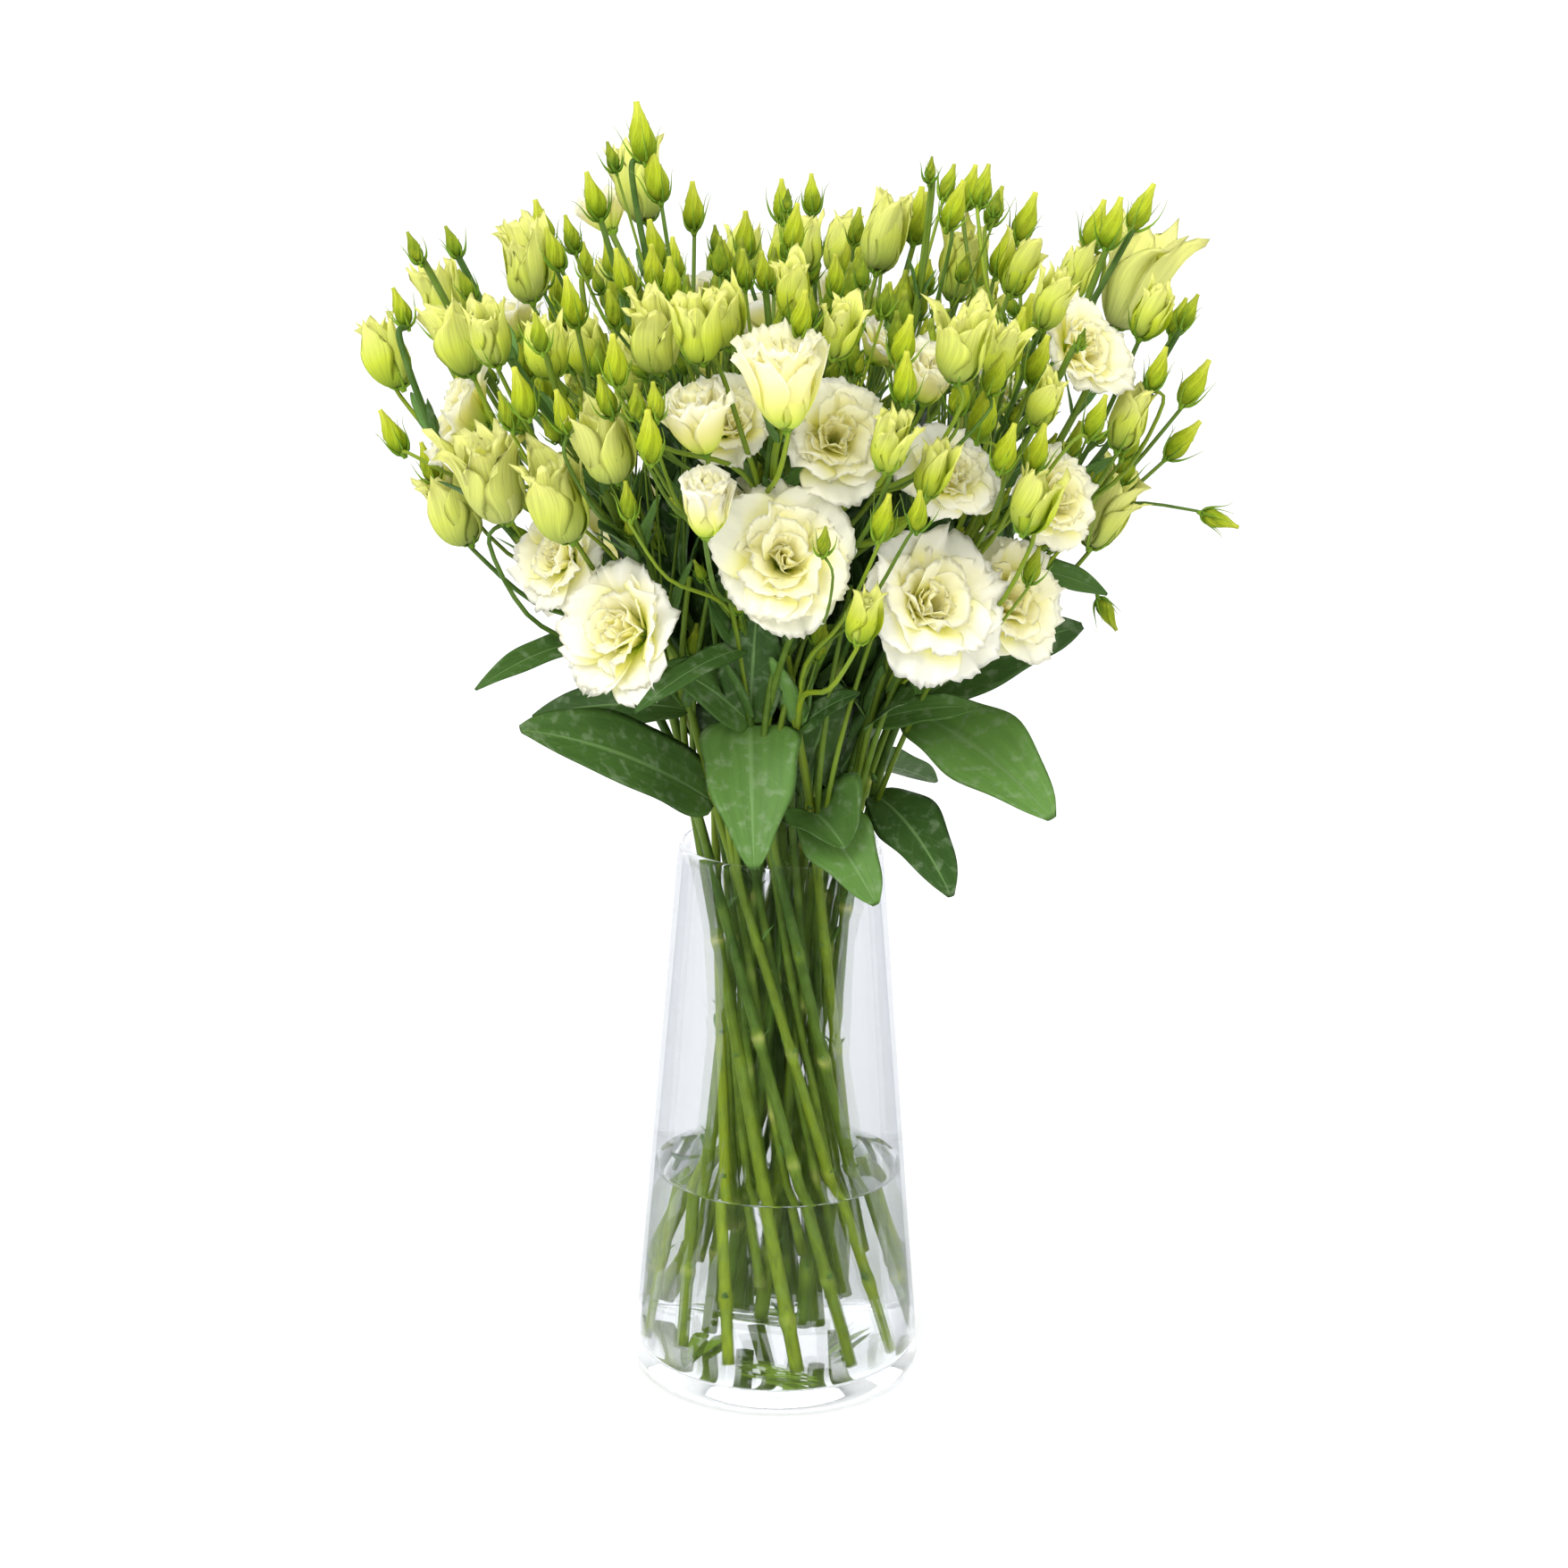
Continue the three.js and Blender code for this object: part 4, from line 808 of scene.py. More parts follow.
def clear_material(name, colour, bend, plain=0.0, tint=WHITE, edge_tint=WHITE):
    """Clear glass or water: a fully transmissive, polished surface. Between the base and the rim, a share of
    it is plain clearness, whose tint deepens where the wall is seen along itself. Shadow rays pass, so that
    the lamps reach the stems inside."""
    material = bpy.data.materials.new(name)
    material.use_nodes = True
    tree = material.node_tree
    skin = tree.nodes["Principled BSDF"]
    skin.inputs["Base Color"].default_value = (*colour, 1)
    skin.inputs["IOR"].default_value = bend
    skin.inputs["Transmission Weight"].default_value = 1
    skin.inputs["Roughness"].default_value = 0
    along_wall = maths(tree, "POWER", node(tree, "ShaderNodeLayerWeight").outputs["Facing"], 4.0)
    clearness = mixed(tree, along_wall, (*tint, 1), (*edge_tint, 1))
    clear = node(tree, "ShaderNodeBsdfTransparent", {"Color": clearness})
    point = node(tree, "ShaderNodeTexCoord").outputs["Object"]
    height = node(tree, "ShaderNodeSeparateXYZ", {0: point}).outputs["Z"]
    above_base, below_rim = (mapped(tree, height, *between) for between in (PLAIN_FROM, PLAIN_TO))
    wall = maths(tree, "MULTIPLY", maths(tree, "MULTIPLY", above_base, below_rim), plain)
    unbent = maths(tree, "MAXIMUM", node(tree, "ShaderNodeLightPath").outputs["Is Shadow Ray"], wall)
    surface = node(tree, "ShaderNodeMixShader", {0: unbent, 1: skin.outputs[0], 2: clear.outputs[0]})
    tree.links.new(surface.outputs[0], tree.nodes["Material Output"].inputs["Surface"])
    return material


# %% Profiles carried round the axis
def arc(x, z, radius, start, stop, steps):
    """Points of an arc, as out and up: the centre plus the radius turned from one angle to another."""
    angle = np.radians(np.linspace(start, stop, steps))
    return np.stack([x + radius * np.cos(angle), z + radius * np.sin(angle)], -1)


def turned(profile, sides=128, **values):
    """A profile of out and up points carried round the axis, and closed at its ends."""
    ring = level(np.arange(sides) / sides * TURN)
    return ringed((profile[:, :1, None] * ring + profile[:, 1:, None] * UP)[None], **values)


# %% The vase, from the slight hollow under its base
VASE_HEIGHT, FOOT_RADIUS, RIM_RADIUS, WALL = 300, 79, 55, 3
HEEL_RADIUS, FLOOR_FILLET = 9, 7
vase_profile = np.concatenate([
    [[20, 1.2], [50, 0.6]], arc(FOOT_RADIUS - HEEL_RADIUS, HEEL_RADIUS, HEEL_RADIUS, -90, 0, 12),
    arc(RIM_RADIUS - WALL / 2, VASE_HEIGHT - WALL / 2, WALL / 2, 0, 180, 12),
    arc(FOOT_RADIUS - WALL - FLOOR_FILLET, FLOOR_HEIGHT + FLOOR_FILLET, FLOOR_FILLET, 0, -90, 10),
    [[40, FLOOR_HEIGHT], [15, FLOOR_HEIGHT]],
])
glass = clear_material(
    "clear glass", (0.90, 0.915, 0.925), bend=1.12, plain=0.8, tint=(0.882, 0.889, 0.902),
    edge_tint=(0.76, 0.78, 0.81))
piece("glass_vase", [turned(vase_profile)], glass, ["vase"], CREASE)

# %% [markdown]
# ## The water
# Water climbs the glass a little where it meets it, and the bright line of that edge is what shows a viewer
# the water's level. So its profile ends in a small upward curve instead of a square corner.


# %% Water with its curved edge
def inner_radius(z):
    """The vase's inner half-width at a height, along its straight taper."""
    low = FLOOR_HEIGHT + FLOOR_FILLET
    share = (z - low) / (VASE_HEIGHT - WALL / 2 - low)
    return FOOT_RADIUS - WALL + (RIM_RADIUS - FOOT_RADIUS) * share


WATER_HEIGHT, GLASS_GAP, CLIMB, CLIMB_WIDTH = 115, 0.05, 2.2, 6
edge = np.linspace(0, 1, 8)[:, None]
rise = WATER_HEIGHT + CLIMB * (1 - edge) ** 3
water_profile = np.concatenate([
    [[15, FLOOR_HEIGHT + GLASS_GAP], [50, FLOOR_HEIGHT + GLASS_GAP]],
    arc(FOOT_RADIUS - WALL - FLOOR_FILLET, FLOOR_HEIGHT + FLOOR_FILLET, FLOOR_FILLET - GLASS_GAP, -90, 0, 10),
    np.hstack([inner_radius(WATER_HEIGHT + CLIMB) - GLASS_GAP - CLIMB_WIDTH * edge, rise]),
    [[40, WATER_HEIGHT], [15, WATER_HEIGHT]],
])
water = clear_material("water", (0.985, 0.995, 0.99), bend=1.22)
piece("vase_water", [turned(water_profile)], water, ["water"], CREASE)

# %% [markdown]
# ## Stems and shoots
# A lisianthus stem is a smooth, slightly waxy rod. Every 60 to 90 mm it has a node: a pale ring where a pair
# of leaves was, often with the stubs still on it. A curve with a round bevel gives no rings, so the stem is a
# tube whose radius swells at each node.

# %% Stems: their paths, and how near each point is to a node
stem_green = plant_material(
    "stem green", [(0, (0.04, 0.10, 0.010)), (0.5, (0.12, 0.21, 0.02)), (1, (0.50, 0.52, 0.14))],
    (0.25, 0.34, 0.015), 0.9, count=9, dark=0.35, rough=0.4, bump=0.3, gloss=0.16,
    blotch=(90, 0.42, 0.62, (0.14, 0.24, 0.04), 0.35))
STEM_NODES, NODE_SHIFT, NODE_WIDTH = np.array([28, 96, 168, 236, 318, 396, 470]), 26, 3.4
stem_number = np.arange(len(foot))
straight = foot[:, None] + (neck - foot)[:, None] * (np.arange(5) / 5)[:, None]
stem_paths = smooth_paths(np.concatenate([straight, leaders["points"]], 1), 9)
stem_length = np.linalg.norm(np.diff(stem_paths, axis=1), axis=-1).cumsum(1)
stem_length = np.concatenate([np.zeros((len(foot), 1)), stem_length], 1)
node_places = STEM_NODES + NODE_SHIFT * scatter(stem_number[:, None], 1)
to_node = abs(stem_length[..., None] - node_places[:, None]).min(-1)
swelling = np.exp(-((to_node / NODE_WIDTH) ** 2))
print("longest stem:", stem_length[:, -1].max().round(), "mm")

# %% Stems: thinner towards the top and yellower low down; the inner stems keep less than half of that pale tone, which is painted shade for the middle of the bundle
STEM_SIDES, PALE_BELOW = 10, 260
share = stem_length / stem_length[:, -1:]
thick = (0.9 + 0.25 * scatter(stem_number, 0))[:, None]
stem_radii = (3.3 - 1.7 * share) * thick * (1 + 0.3 * swelling)
low = np.clip(1 - stem_paths[..., 2] / PALE_BELOW, 0, 1)
# Painted shade: stems of the inner rings keep 0.45 of their pale tone, so they are coloured darker green
# where the bundle shades its middle.
inner_painted_shade = np.where(stem_number < OUTER_STEMS, 1, 0.45)[:, None]
stem_tone = ((0.9 * scatter(stem_number, 2)[:, None] ** 2 + 0.7 * low) * inner_painted_shade)[..., None]
around = (np.arange(STEM_SIDES) / STEM_SIDES)[None, None]
stem_parts = [
    tubes(stem_paths, stem_radii, STEM_SIDES, along=swelling[..., None], across=around, tone=stem_tone),
]
print("stem radius: from", stem_radii.min().round(2), "to", stem_radii.max().round(2), "mm")

# %% Thin stems between the thick ones: skew lines too, which spread above the neck and end among the leaves
THIN_STEMS, THIN_WAIST, THIN_SLOPE, THIN_TOP, THIN_NODE_GAP = 16, 26.3, -0.2, 450, 72
THIN_SIDES = 8
count = np.arange(THIN_STEMS)
turn = (count + 0.5 * scatter(count, 1)) / THIN_STEMS * TURN
climb = np.linspace(0, 1, 30)
thin_foot = FLOOR_HEIGHT + 35 + 75 * scatter(count, 0)[:, None]
thin_height = thin_foot + (THIN_TOP - thin_foot) * climb
above_neck = np.maximum(thin_height - NECK_HEIGHT + 20, 0)
thin_spread = (0.002 + 0.0025 * scatter(count, 2)[:, None]) * above_neck**2
thin_out = THIN_WAIST + thin_spread + 2.5 * np.sin(thin_height / 40 + turn[:, None])
thin_paths = level(turn)[:, None] * thin_out[..., None] + thin_height[..., None] * UP
thin_paths += ringwise(turn)[:, None] * (THIN_SLOPE * (thin_height - WAIST_HEIGHT))[..., None]
thin_nodes = abs((thin_height / THIN_NODE_GAP + turn[:, None]) % 1 - 0.5) * THIN_NODE_GAP
thin_swelling = np.exp(-((thin_nodes / 6) ** 2))[..., None]
thin_radii = (2.5 - 0.9 * climb) * (1 + 0.2 * thin_swelling[..., 0])
thin_tone = 0.6 * np.clip(1 - thin_height / PALE_BELOW, 0, 1) + 0.2 * scatter(count, 2)[:, None]
stem_parts.append(tubes(thin_paths, thin_radii, THIN_SIDES, along=thin_swelling, tone=thin_tone[..., None]))
print("thin stems:", THIN_STEMS)

# %% A fan of side shoots that leave the front stems at the mouth and stand before the dark leaves
FAN_SHOOTS, FAN_LEAVE = 11, 70
count = np.arange(FAN_SHOOTS)
front_stems = np.flatnonzero(neck[:OUTER_STEMS, 1] < -8)
fan_stem = front_stems[np.argsort(neck[front_stems, 0])][count * len(front_stems) // FAN_SHOOTS]
fan_share = 0.8 + 0.16 * scatter(count, 1)[:, None]
fan_foot = foot[fan_stem] + (neck - foot)[fan_stem] * fan_share
fan_across = -52 + 152 * (count + 0.6 * scatter(count, 0)) / FAN_SHOOTS
fan_top = np.stack([fan_across, -74 - 14 * scatter(count, 2), 440 + 22 * scatter(count, 3)], -1)
fan_bend = fan_foot + along_stem[fan_stem] * FAN_LEAVE - [0, 8, 0]
fan_paths = bent_lines(fan_foot, fan_bend, fan_top, np.linspace(0, 1, 16)[:, None])
fan_radii = np.linspace(2.0, 1.3, 16) * (0.85 + 0.3 * scatter(count, 1))[:, None]
stem_parts.append(tubes(fan_paths, fan_radii, THIN_SIDES, tone=0.15 + 0.4 * scatter(count, 0)[:, None, None]))
print("side shoots in front:", FAN_SHOOTS)

# %% Pedicels, and the side buds' stalks, each a little thicker where it meets its head
PEDICEL_SIDES, STALK_SIDES = 6, 5
shown = drawn[pedicels["head"]]
pedicel_heads = pedicels["head"][shown]
pedicel_paths = smooth_paths(pedicels["points"][shown], 4)
thinning = np.linspace(1.5, 0.85, pedicel_paths.shape[1])
thinning[-2:] = 1.1, 1.6
youth = np.where(kind == BUD, np.clip(size / 18, 0.6, 1), 1.15)[pedicel_heads][:, None]
tone = scatter(pedicel_heads, 2)[:, None, None]
around = (np.arange(PEDICEL_SIDES) / PEDICEL_SIDES)[None, None]
stem_parts.append(tubes(pedicel_paths, thinning * youth, PEDICEL_SIDES, across=around, tone=tone))
stalk_radii = np.array([0.95, 0.8, 0.7, 0.65, 0.65, 0.75, 1.1])
stalks = bent_lines(side_foot, side_bend, side_base, np.linspace(0, 1, 7)[:, None])
stem_parts.append(tubes(stalks, stalk_radii[None], STALK_SIDES, tone=0.3))
sprays = [f"spray_{n + 1:02d}" for n in range(len(foot))]
piece("stems_and_shoots", stem_parts, stem_green, sprays)

# %% [markdown]
# ## Heads in their own frames
# A flower is easiest to shape standing upright at the origin. A turn then lays it along its own axis on the
# end of its pedicel. The turn that takes straight up to a direction has a short closed form.


# %% Turning heads into place
def stance(ways, spin):
    """For each way, the matrix that takes +Z to it, after a spin about +Z."""
    x, y, z = ways.T
    flat = np.maximum(1 + z, 1e-6)
    cos, sin, none = np.cos(spin), np.sin(spin), 0 * spin
    tilt = np.array([[1 - x * x / flat, -x * y / flat, x], [-x * y / flat, 1 - y * y / flat, y], [-x, -y, z]])
    spun = np.array([[cos, -sin, none], [sin, cos, none], [none, none, none + 1]])
    return np.einsum("ijn,jkn->nik", tilt, spun)


def placed(grid, points, ways, spin):
    """Grids from upright frames to the bouquet's: turned to their ways, and moved to their points."""
    return np.einsum("nij,n...j->n...i", stance(ways, spin), grid) + points[:, None, None]


def in_place(grid, heads, spin):
    """Grids laid along their heads' axes, on their heads' bases."""
    return placed(grid, base[heads], axis[heads], spin)


# %% The blooms at the sides look round to the front a little, after their pedicels have come in
FRONT_LOOKERS, LOOK_ROUND = [2, 4, 18, 19], 0.6
to_view = unit(np.array([0, VIEW_Y, VIEW_Z]) - place[FRONT_LOOKERS])
axis[FRONT_LOOKERS] = unit(axis[FRONT_LOOKERS] + LOOK_ROUND * to_view)
print("blooms that look round:", len(FRONT_LOOKERS))

# %% [markdown]
# ## Buds
# A lisianthus bud is a long teardrop whose five petals are rolled round each other, so their edges climb it
# in a spiral. It ends in a twisted point. It is a body of rings whose radius steps a little at each edge.


# %% Buds as twisted teardrops
BUD_LENGTH_SHARE, BUD_EDGES, BUD_TWIST, EDGE_STEP, BUD_SUNK = 1.3, 5, 1.5, 0.32, 0.03


def bud_grid(length, rows=14, sides=20):
    """Radius: a pear with a neck, a power of the height's share times a power of what is left. The rolled
    edges add a saw-tooth round the ring, which turns as it climbs."""
    t = np.linspace(0, 1, rows)[:, None]
    turn = np.arange(sides) / sides
    edge = (turn * BUD_EDGES - BUD_TWIST * t + 0.1) % 1
    radius = 0.83 * t**0.75 * (1 - t) ** 1.7 + 0.016 + 0.035 * t
    radius = radius * (1 + EDGE_STEP * (edge - 0.5) * np.sin(np.pi * np.clip(t, 0.02, 0.98)))
    angle = turn * TURN
    shape = np.stack([radius * np.cos(angle), radius * np.sin(angle), t + 0 * angle - BUD_SUNK], -1)
    return shape[None] * length[:, None, None, None], np.broadcast_to(t, radius.shape), edge


# %% Buds on all their stalks: the smaller, the greener
buds = np.flatnonzero((kind == BUD) & drawn)
bud_shape, bud_along, bud_edge = bud_grid(size[buds] * BUD_LENGTH_SHARE)
bud_youth = np.clip((19 - size[buds]) / 9 + 0.25 * (scatter(buds, 3) - 0.5), 0, 1)
bud_skin = plant_material(
    "bud skin", [
        (0, (0.07, 0.15, 0.008)), (0.22, (0.23, 0.35, 0.010)), (0.6, (0.50, 0.60, 0.022)),
        (1, (0.74, 0.77, 0.10)),
    ],
    (0.08, 0.17, 0.012), 0.9, count=9, dark=0.5, rough=0.42, bump=0.5, through=0.2,
    blotch=(110, 0.4, 0.7, (0.50, 0.56, 0.03), 0.5))
bud_bodies = in_place(bud_shape, buds, 6 * scatter(buds, 2))
side_shape, side_along, side_edge = bud_grid(side_size * BUD_LENGTH_SHARE, rows=8, sides=10)
side_bodies = placed(side_shape, side_base, side_axis, side_size)
piece("buds", [
    ringed(bud_bodies, bud_along[None], bud_edge[None], bud_youth[:, None, None]),
    ringed(side_bodies, side_along[None], side_edge[None], 0.75),
], bud_skin)

# %% [markdown]
# ## Petals
# All flowers share one way of making a petal. Its midrib bends from the head's axis through three angles:
# at the foot, halfway and at the tip. Across the petal, the sheet curls round the head or lies flat. The rim
# is cut to a point with small teeth, and it waves more the further out it is. Open blooms, goblets and
# half-open flowers are the same petal with other numbers.


# %% A petal's values: lengths as shares of its head's scale, leans in degrees, the rest as plain shares
PETAL = dict(
    length=1.5,
    start=0.1,  # how far from the head's axis it begins
    lean_foot=60, lean_mid=0, lean_tip=20, width=0.5,
    claw=0.3,  # how wide the foot is, beside the middle
    taper=0.06,  # how much narrower the top is
    curl=1.0,  # 1 wraps the petal round its head, and 0 leaves it flat
    overlap=0.1,  # how far one side lies further in than the other
    frill=0.1,  # how high the rim's waves are
    roll=0.0,  # how far the sides roll back
    tooth=0.08, teeth=3,  # the rim's teeth: their depth and number
    point=0.02, rounding=0.2,  # the rim's point, and how far its corners are cut back
    twist=0.2,  # how far round the head it turns on its way up, in radians
    glow=0.0,  # added to the head's tone
)
SIZED = ("length", "start", "width", "frill")
LEAN_SPREAD, VALUE_SPREAD, TURN_SPREAD = 7, (0.86, 1.12), 0.015


# %% Rings of petals
def whorl(heads, scale, count, turn, **given):
    """Evenly spaced petals round each head, every value a little different from petal to petal. A value
    that isn't given is the one in PETAL, and lengths grow with the head's scale."""
    host = np.repeat(np.arange(len(heads)), count)
    made = {}
    for key, value in (PETAL | given).items():
        value = value * scale if key in SIZED else value
        made[key] = np.broadcast_to(value, len(heads))[host].astype(float)
        if key.startswith("lean"):
            made[key] += rng.normal(0, LEAN_SPREAD, len(host))
        elif key not in ("start", "twist", "curl"):
            made[key] *= rng.uniform(*VALUE_SPREAD, len(host))
    share = np.tile(np.arange(count), len(heads)) / count + rng.normal(0, TURN_SPREAD, len(host))
    made["angle"] = turn + share * TURN
    made["phase"] = rng.uniform(0, ROUGH_TURN, len(host))
    made["host"] = host
    return made


# %% Petals as curved sheets
WIDEST, CLOSING, TURN_IN_LIMIT = 0.66, 0.34, 2.5


def petals(shape, rows, columns):
    """The midrib's lean is the parabola through its three angles; its steps, turned by the lean, add up to
    how far out and up each row is. Each point then moves sideways round an arc, along the sheet's own normal
    for the curl, tilt and waves, and all of it turns by the petal's angle round the head."""
    p = {key: value[:, None, None] for key, value in shape.items()}
    v = np.linspace(0, 1, rows)[None, :, None]
    u = np.linspace(-1, 1, columns)[None, None]
    teeth = abs((u * p["teeth"] + p["phase"]) % 1 - 0.5)
    teeth = teeth + abs((u * 1.7 * p["teeth"] + 2 * p["phase"]) % 1 - 0.5)
    teeth = teeth * p["tooth"] * (1 - 0.4 * abs(u))
    rim = 1 - p["rounding"] * abs(u) ** 2.4 + p["point"] * np.exp(-((u / 0.22) ** 2)) + teeth
    s = v * (1 + (rim - 1) * v**2)
    bend = 2 * (p["lean_foot"] + p["lean_tip"] - 2 * p["lean_mid"])
    lean = p["lean_foot"] + (p["lean_tip"] - p["lean_foot"] - bend) * s + bend * s**2
    lean = np.radians(lean)
    step = np.diff(s, axis=1) * p["length"]
    out = np.cumsum((np.sin(lean[:, 1:]) + np.sin(lean[:, :-1])) / 2 * step, axis=1)
    up = np.cumsum((np.cos(lean[:, 1:]) + np.cos(lean[:, :-1])) / 2 * step, axis=1)
    out = p["start"] + np.pad(out, ((0, 0), (1, 0), (0, 0)))
    up = np.pad(up, ((0, 0), (1, 0), (0, 0)))
    swell = np.clip(v / WIDEST, 0, 1)
    swell = swell * swell * (3 - 2 * swell)
    close = np.clip((v - WIDEST) / CLOSING, 0, 1) ** 2
    half = p["width"] * (p["claw"] + (1 - p["claw"]) * swell) * (1 - p["taper"] * close)
    side = half * u
    turn_in = np.clip(p["curl"] * side / (abs(out) + 0.15 * p["width"]), -TURN_IN_LIMIT, TURN_IN_LIMIT)
    flat = abs(turn_in) < 1e-6
    arc_radius = side / np.where(flat, 1, turn_in)
    sideways = np.where(flat, side, arc_radius * np.sin(turn_in))
    inward = np.where(flat, 0, arc_radius * (1 - np.cos(turn_in)))
    wave = np.sin(5.2 * u + p["phase"]) * 0.5 + np.sin(9.5 * u + 2 * p["phase"]) * 0.45 * s
    wave = wave + np.sin(16 * u + 3 * p["phase"]) * 0.3 * s**4
    wave = wave * p["frill"] * s**2 + p["overlap"] * side - p["roll"] * half * u**4 * s**2
    lift = inward + wave
    radial = out - np.cos(lean) * lift
    height = up + np.sin(lean) * lift
    angle = p["angle"] + p["twist"] * s
    x = radial * np.cos(angle) - sideways * np.sin(angle)
    y = radial * np.sin(angle) + sideways * np.cos(angle)
    return np.stack([x, y, height], -1), s, u + 0 * s


# %% [markdown]
# ## Half-open flowers
# Between bud and bloom, a lisianthus is a twisted goblet: five pale yellow-green petals overlap each other
# all one way round, bulge at the foot, close in above and flare into pointed tips. A second ring of petals
# shows in its mouth.

# %% Goblets of two rings
half_open_skin = plant_material(
    "half-open petal", [
        (0, (0.12, 0.26, 0.01)), (0.2, (0.38, 0.54, 0.012)), (0.55, (0.70, 0.79, 0.045)),
        (1, (0.92, 0.93, 0.32)),
    ],
    (0.95, 0.945, 0.42), 0.7, count=24, dark=0.22, rough=0.5, bump=0.35, through=0.5)


def goblet(heads, width, opened):
    """Two rings of petals: an outer goblet, and a narrower one that stands in its mouth. The more opened,
    the wider its rim."""
    outer = whorl(
        heads, width, 5, 0.0, length=1.52 - 0.2 * opened, lean_foot=78 - 8 * opened, lean_mid=-7 + 7 * opened,
        lean_tip=12 + 22 * opened, width=0.5 + 0.04 * opened, claw=0.35, taper=0.36, curl=1.06,
        frill=0.04 + 0.06 * opened, point=0.14, rounding=0.26, twist=0.6)
    inner = whorl(
        heads, width, 4, 0.6, start=0.08, lean_foot=66 - 6 * opened, lean_mid=-6 + 6 * opened,
        lean_tip=10 + 14 * opened, width=0.4, taper=0.3, curl=1.1, overlap=0.2, frill=0.07 + 0.05 * opened,
        tooth=0.1, point=0.06, twist=0.6, glow=0.25)
    return [outer, inner]


def gathered(parts):
    """Several rings' values as one set."""
    return {key: np.concatenate([part[key] for part in parts]) for key in parts[0]}


PETAL_THICKNESS = 0.3


def flower_sheets(heads, shape, rows, columns, spin, tone):
    """A ring set's sheets, turned onto their heads."""
    grid, along, across = petals(shape, rows, columns)
    host = shape["host"].astype(int)
    grid = in_place(grid, heads[host], spin[host])
    return sheets(grid, PETAL_THICKNESS, along, across, (tone[host] + shape["glow"])[:, None, None])


# %% Half-open flowers: the larger, the more open and the paler
WIDE_CUP = 34
cups = np.flatnonzero(kind == CUP)
cup_open = np.maximum(scatter(cups, 3) * np.clip((size[cups] - 15) / 10, 0.2, 1), size[cups] > WIDE_CUP)
cup_shape = gathered(goblet(cups, size[cups], cup_open))
cup_tone = 0.3 * scatter(cups, 0) + 0.7 * np.clip((size[cups] - 20) / 18, 0, 1)
cup_spin = 6 * scatter(cups, 2)
cup_sheets = flower_sheets(cups, cup_shape, 12, 9, cup_spin, cup_tone)
piece("half_open_flowers", [cup_sheets], half_open_skin)

# %% [markdown]
# ## Open blooms
# A double lisianthus is built like a small rose: six broad outer petals that roll back, two more rings
# that stand up inside them, and a heart of small curled petals. The petals are cream, with a yellow-green
# throat. A bloom seen from the side is less open, so each one's rings are chosen by how far it faces out.

# %% Blooms of four rings
petal_skin = plant_material(
    "cream petal", [
        (0, (0.60, 0.80, 0.06)), (0.22, (0.87, 0.93, 0.21)), (0.46, (0.975, 0.968, 0.58)),
        (0.76, (0.992, 0.982, 0.94)),
    ],
    (0.985, 0.96, 0.52), 0.6, count=30, dark=0.02, rough=0.55, bump=0.4, through=0.72, sheen=0.05)


def bloom_rings(heads, half, opened):
    """Rings from the outside in; opened goes from 0, a goblet, to 1, a flat open bloom."""
    def between(closed, wide):
        return closed + (wide - closed) * opened

    outer = whorl(
        heads, half, 6, 0.0, length=between(1.75, 1.26), lean_foot=between(62, 36), lean_mid=between(3, 56),
        lean_tip=between(30, 92), width=between(0.84, 0.7), curl=between(1.0, 0.5), frill=between(0.17, 0.13),
        roll=0.12, teeth=3.5, rounding=between(0.14, 0.26), twist=0.15)
    second = whorl(
        heads, half, 5, 0.6, length=between(1.75, 1.12), start=0.09, lean_foot=between(52, 28),
        lean_mid=between(2, 42), lean_tip=between(26, 70), width=between(0.76, 0.6), curl=between(1.05, 0.65),
        overlap=0.14, frill=between(0.2, 0.14), roll=0.05, tooth=0.09, teeth=3.5,
        rounding=between(0.14, 0.26), glow=0.1)
    third = whorl(
        heads, half, 5, 0.2, length=between(1.75, 0.98), start=0.06, lean_foot=between(40, 20),
        lean_mid=between(0, 28), lean_tip=between(20, 48), width=between(0.6, 0.5), taper=0.08, curl=0.95,
        overlap=0.2, frill=between(0.2, 0.13), tooth=0.09, twist=0.25, glow=0.35)
    heart = whorl(
        heads, half, 5, 0.9, length=between(1.6, 0.8), start=0.04, lean_foot=between(26, 12),
        lean_mid=between(-2, 12), lean_tip=24, width=between(0.42, 0.38), claw=0.35, taper=0.1, overlap=0.26,
        frill=0.14, twist=0.4, glow=0.65)
    return [outer, second, third, heart]


# %% Blooms, one piece each
LARGE_BLOOM = 44
blooms = np.flatnonzero(kind == BLOOM)
bloom_half = size[blooms] / 2
bloom_open = np.where(far_side[blooms], 0.85, np.clip((facing[blooms] - 0.1) / 0.4, 0, 1))
outer, second, third, heart = bloom_rings(blooms, bloom_half, bloom_open)
# Two rings, then the rows and columns of their petals on large blooms in front and on the others.
ring_sets = [
    (gathered([outer, second]), (13, 25), (10, 13)), (gathered([third, heart]), (11, 17), (9, 11)),
]
bloom_spin = 5 * scatter(np.arange(len(blooms)), 1)
bloom_tone = np.clip(scatter(blooms, 2) * 0.3 + 0.15 * (bloom_open < 0.3), 0, 1)
for n, head in enumerate(blooms):
    parts = []
    for rings, fine, plain in ring_sets:
        mine = {key: value[rings["host"] == n] for key, value in rings.items()}
        rows, columns = fine if size[head] >= LARGE_BLOOM and not far_side[head] else plain
        parts.append(flower_sheets(blooms, mine, rows, columns, bloom_spin, bloom_tone))
    piece(f"flower_{n + 1:02d}", parts, petal_skin, [f"bloom_{n + 1:02d}"])

# %% [markdown]
# ## Sepals
# Under every head, open or shut, stand five thin green sepals, as fine as awls, that hug its foot and curl
# away at their tips. They are short tapered tubes, bent by the same three angles as the petals.

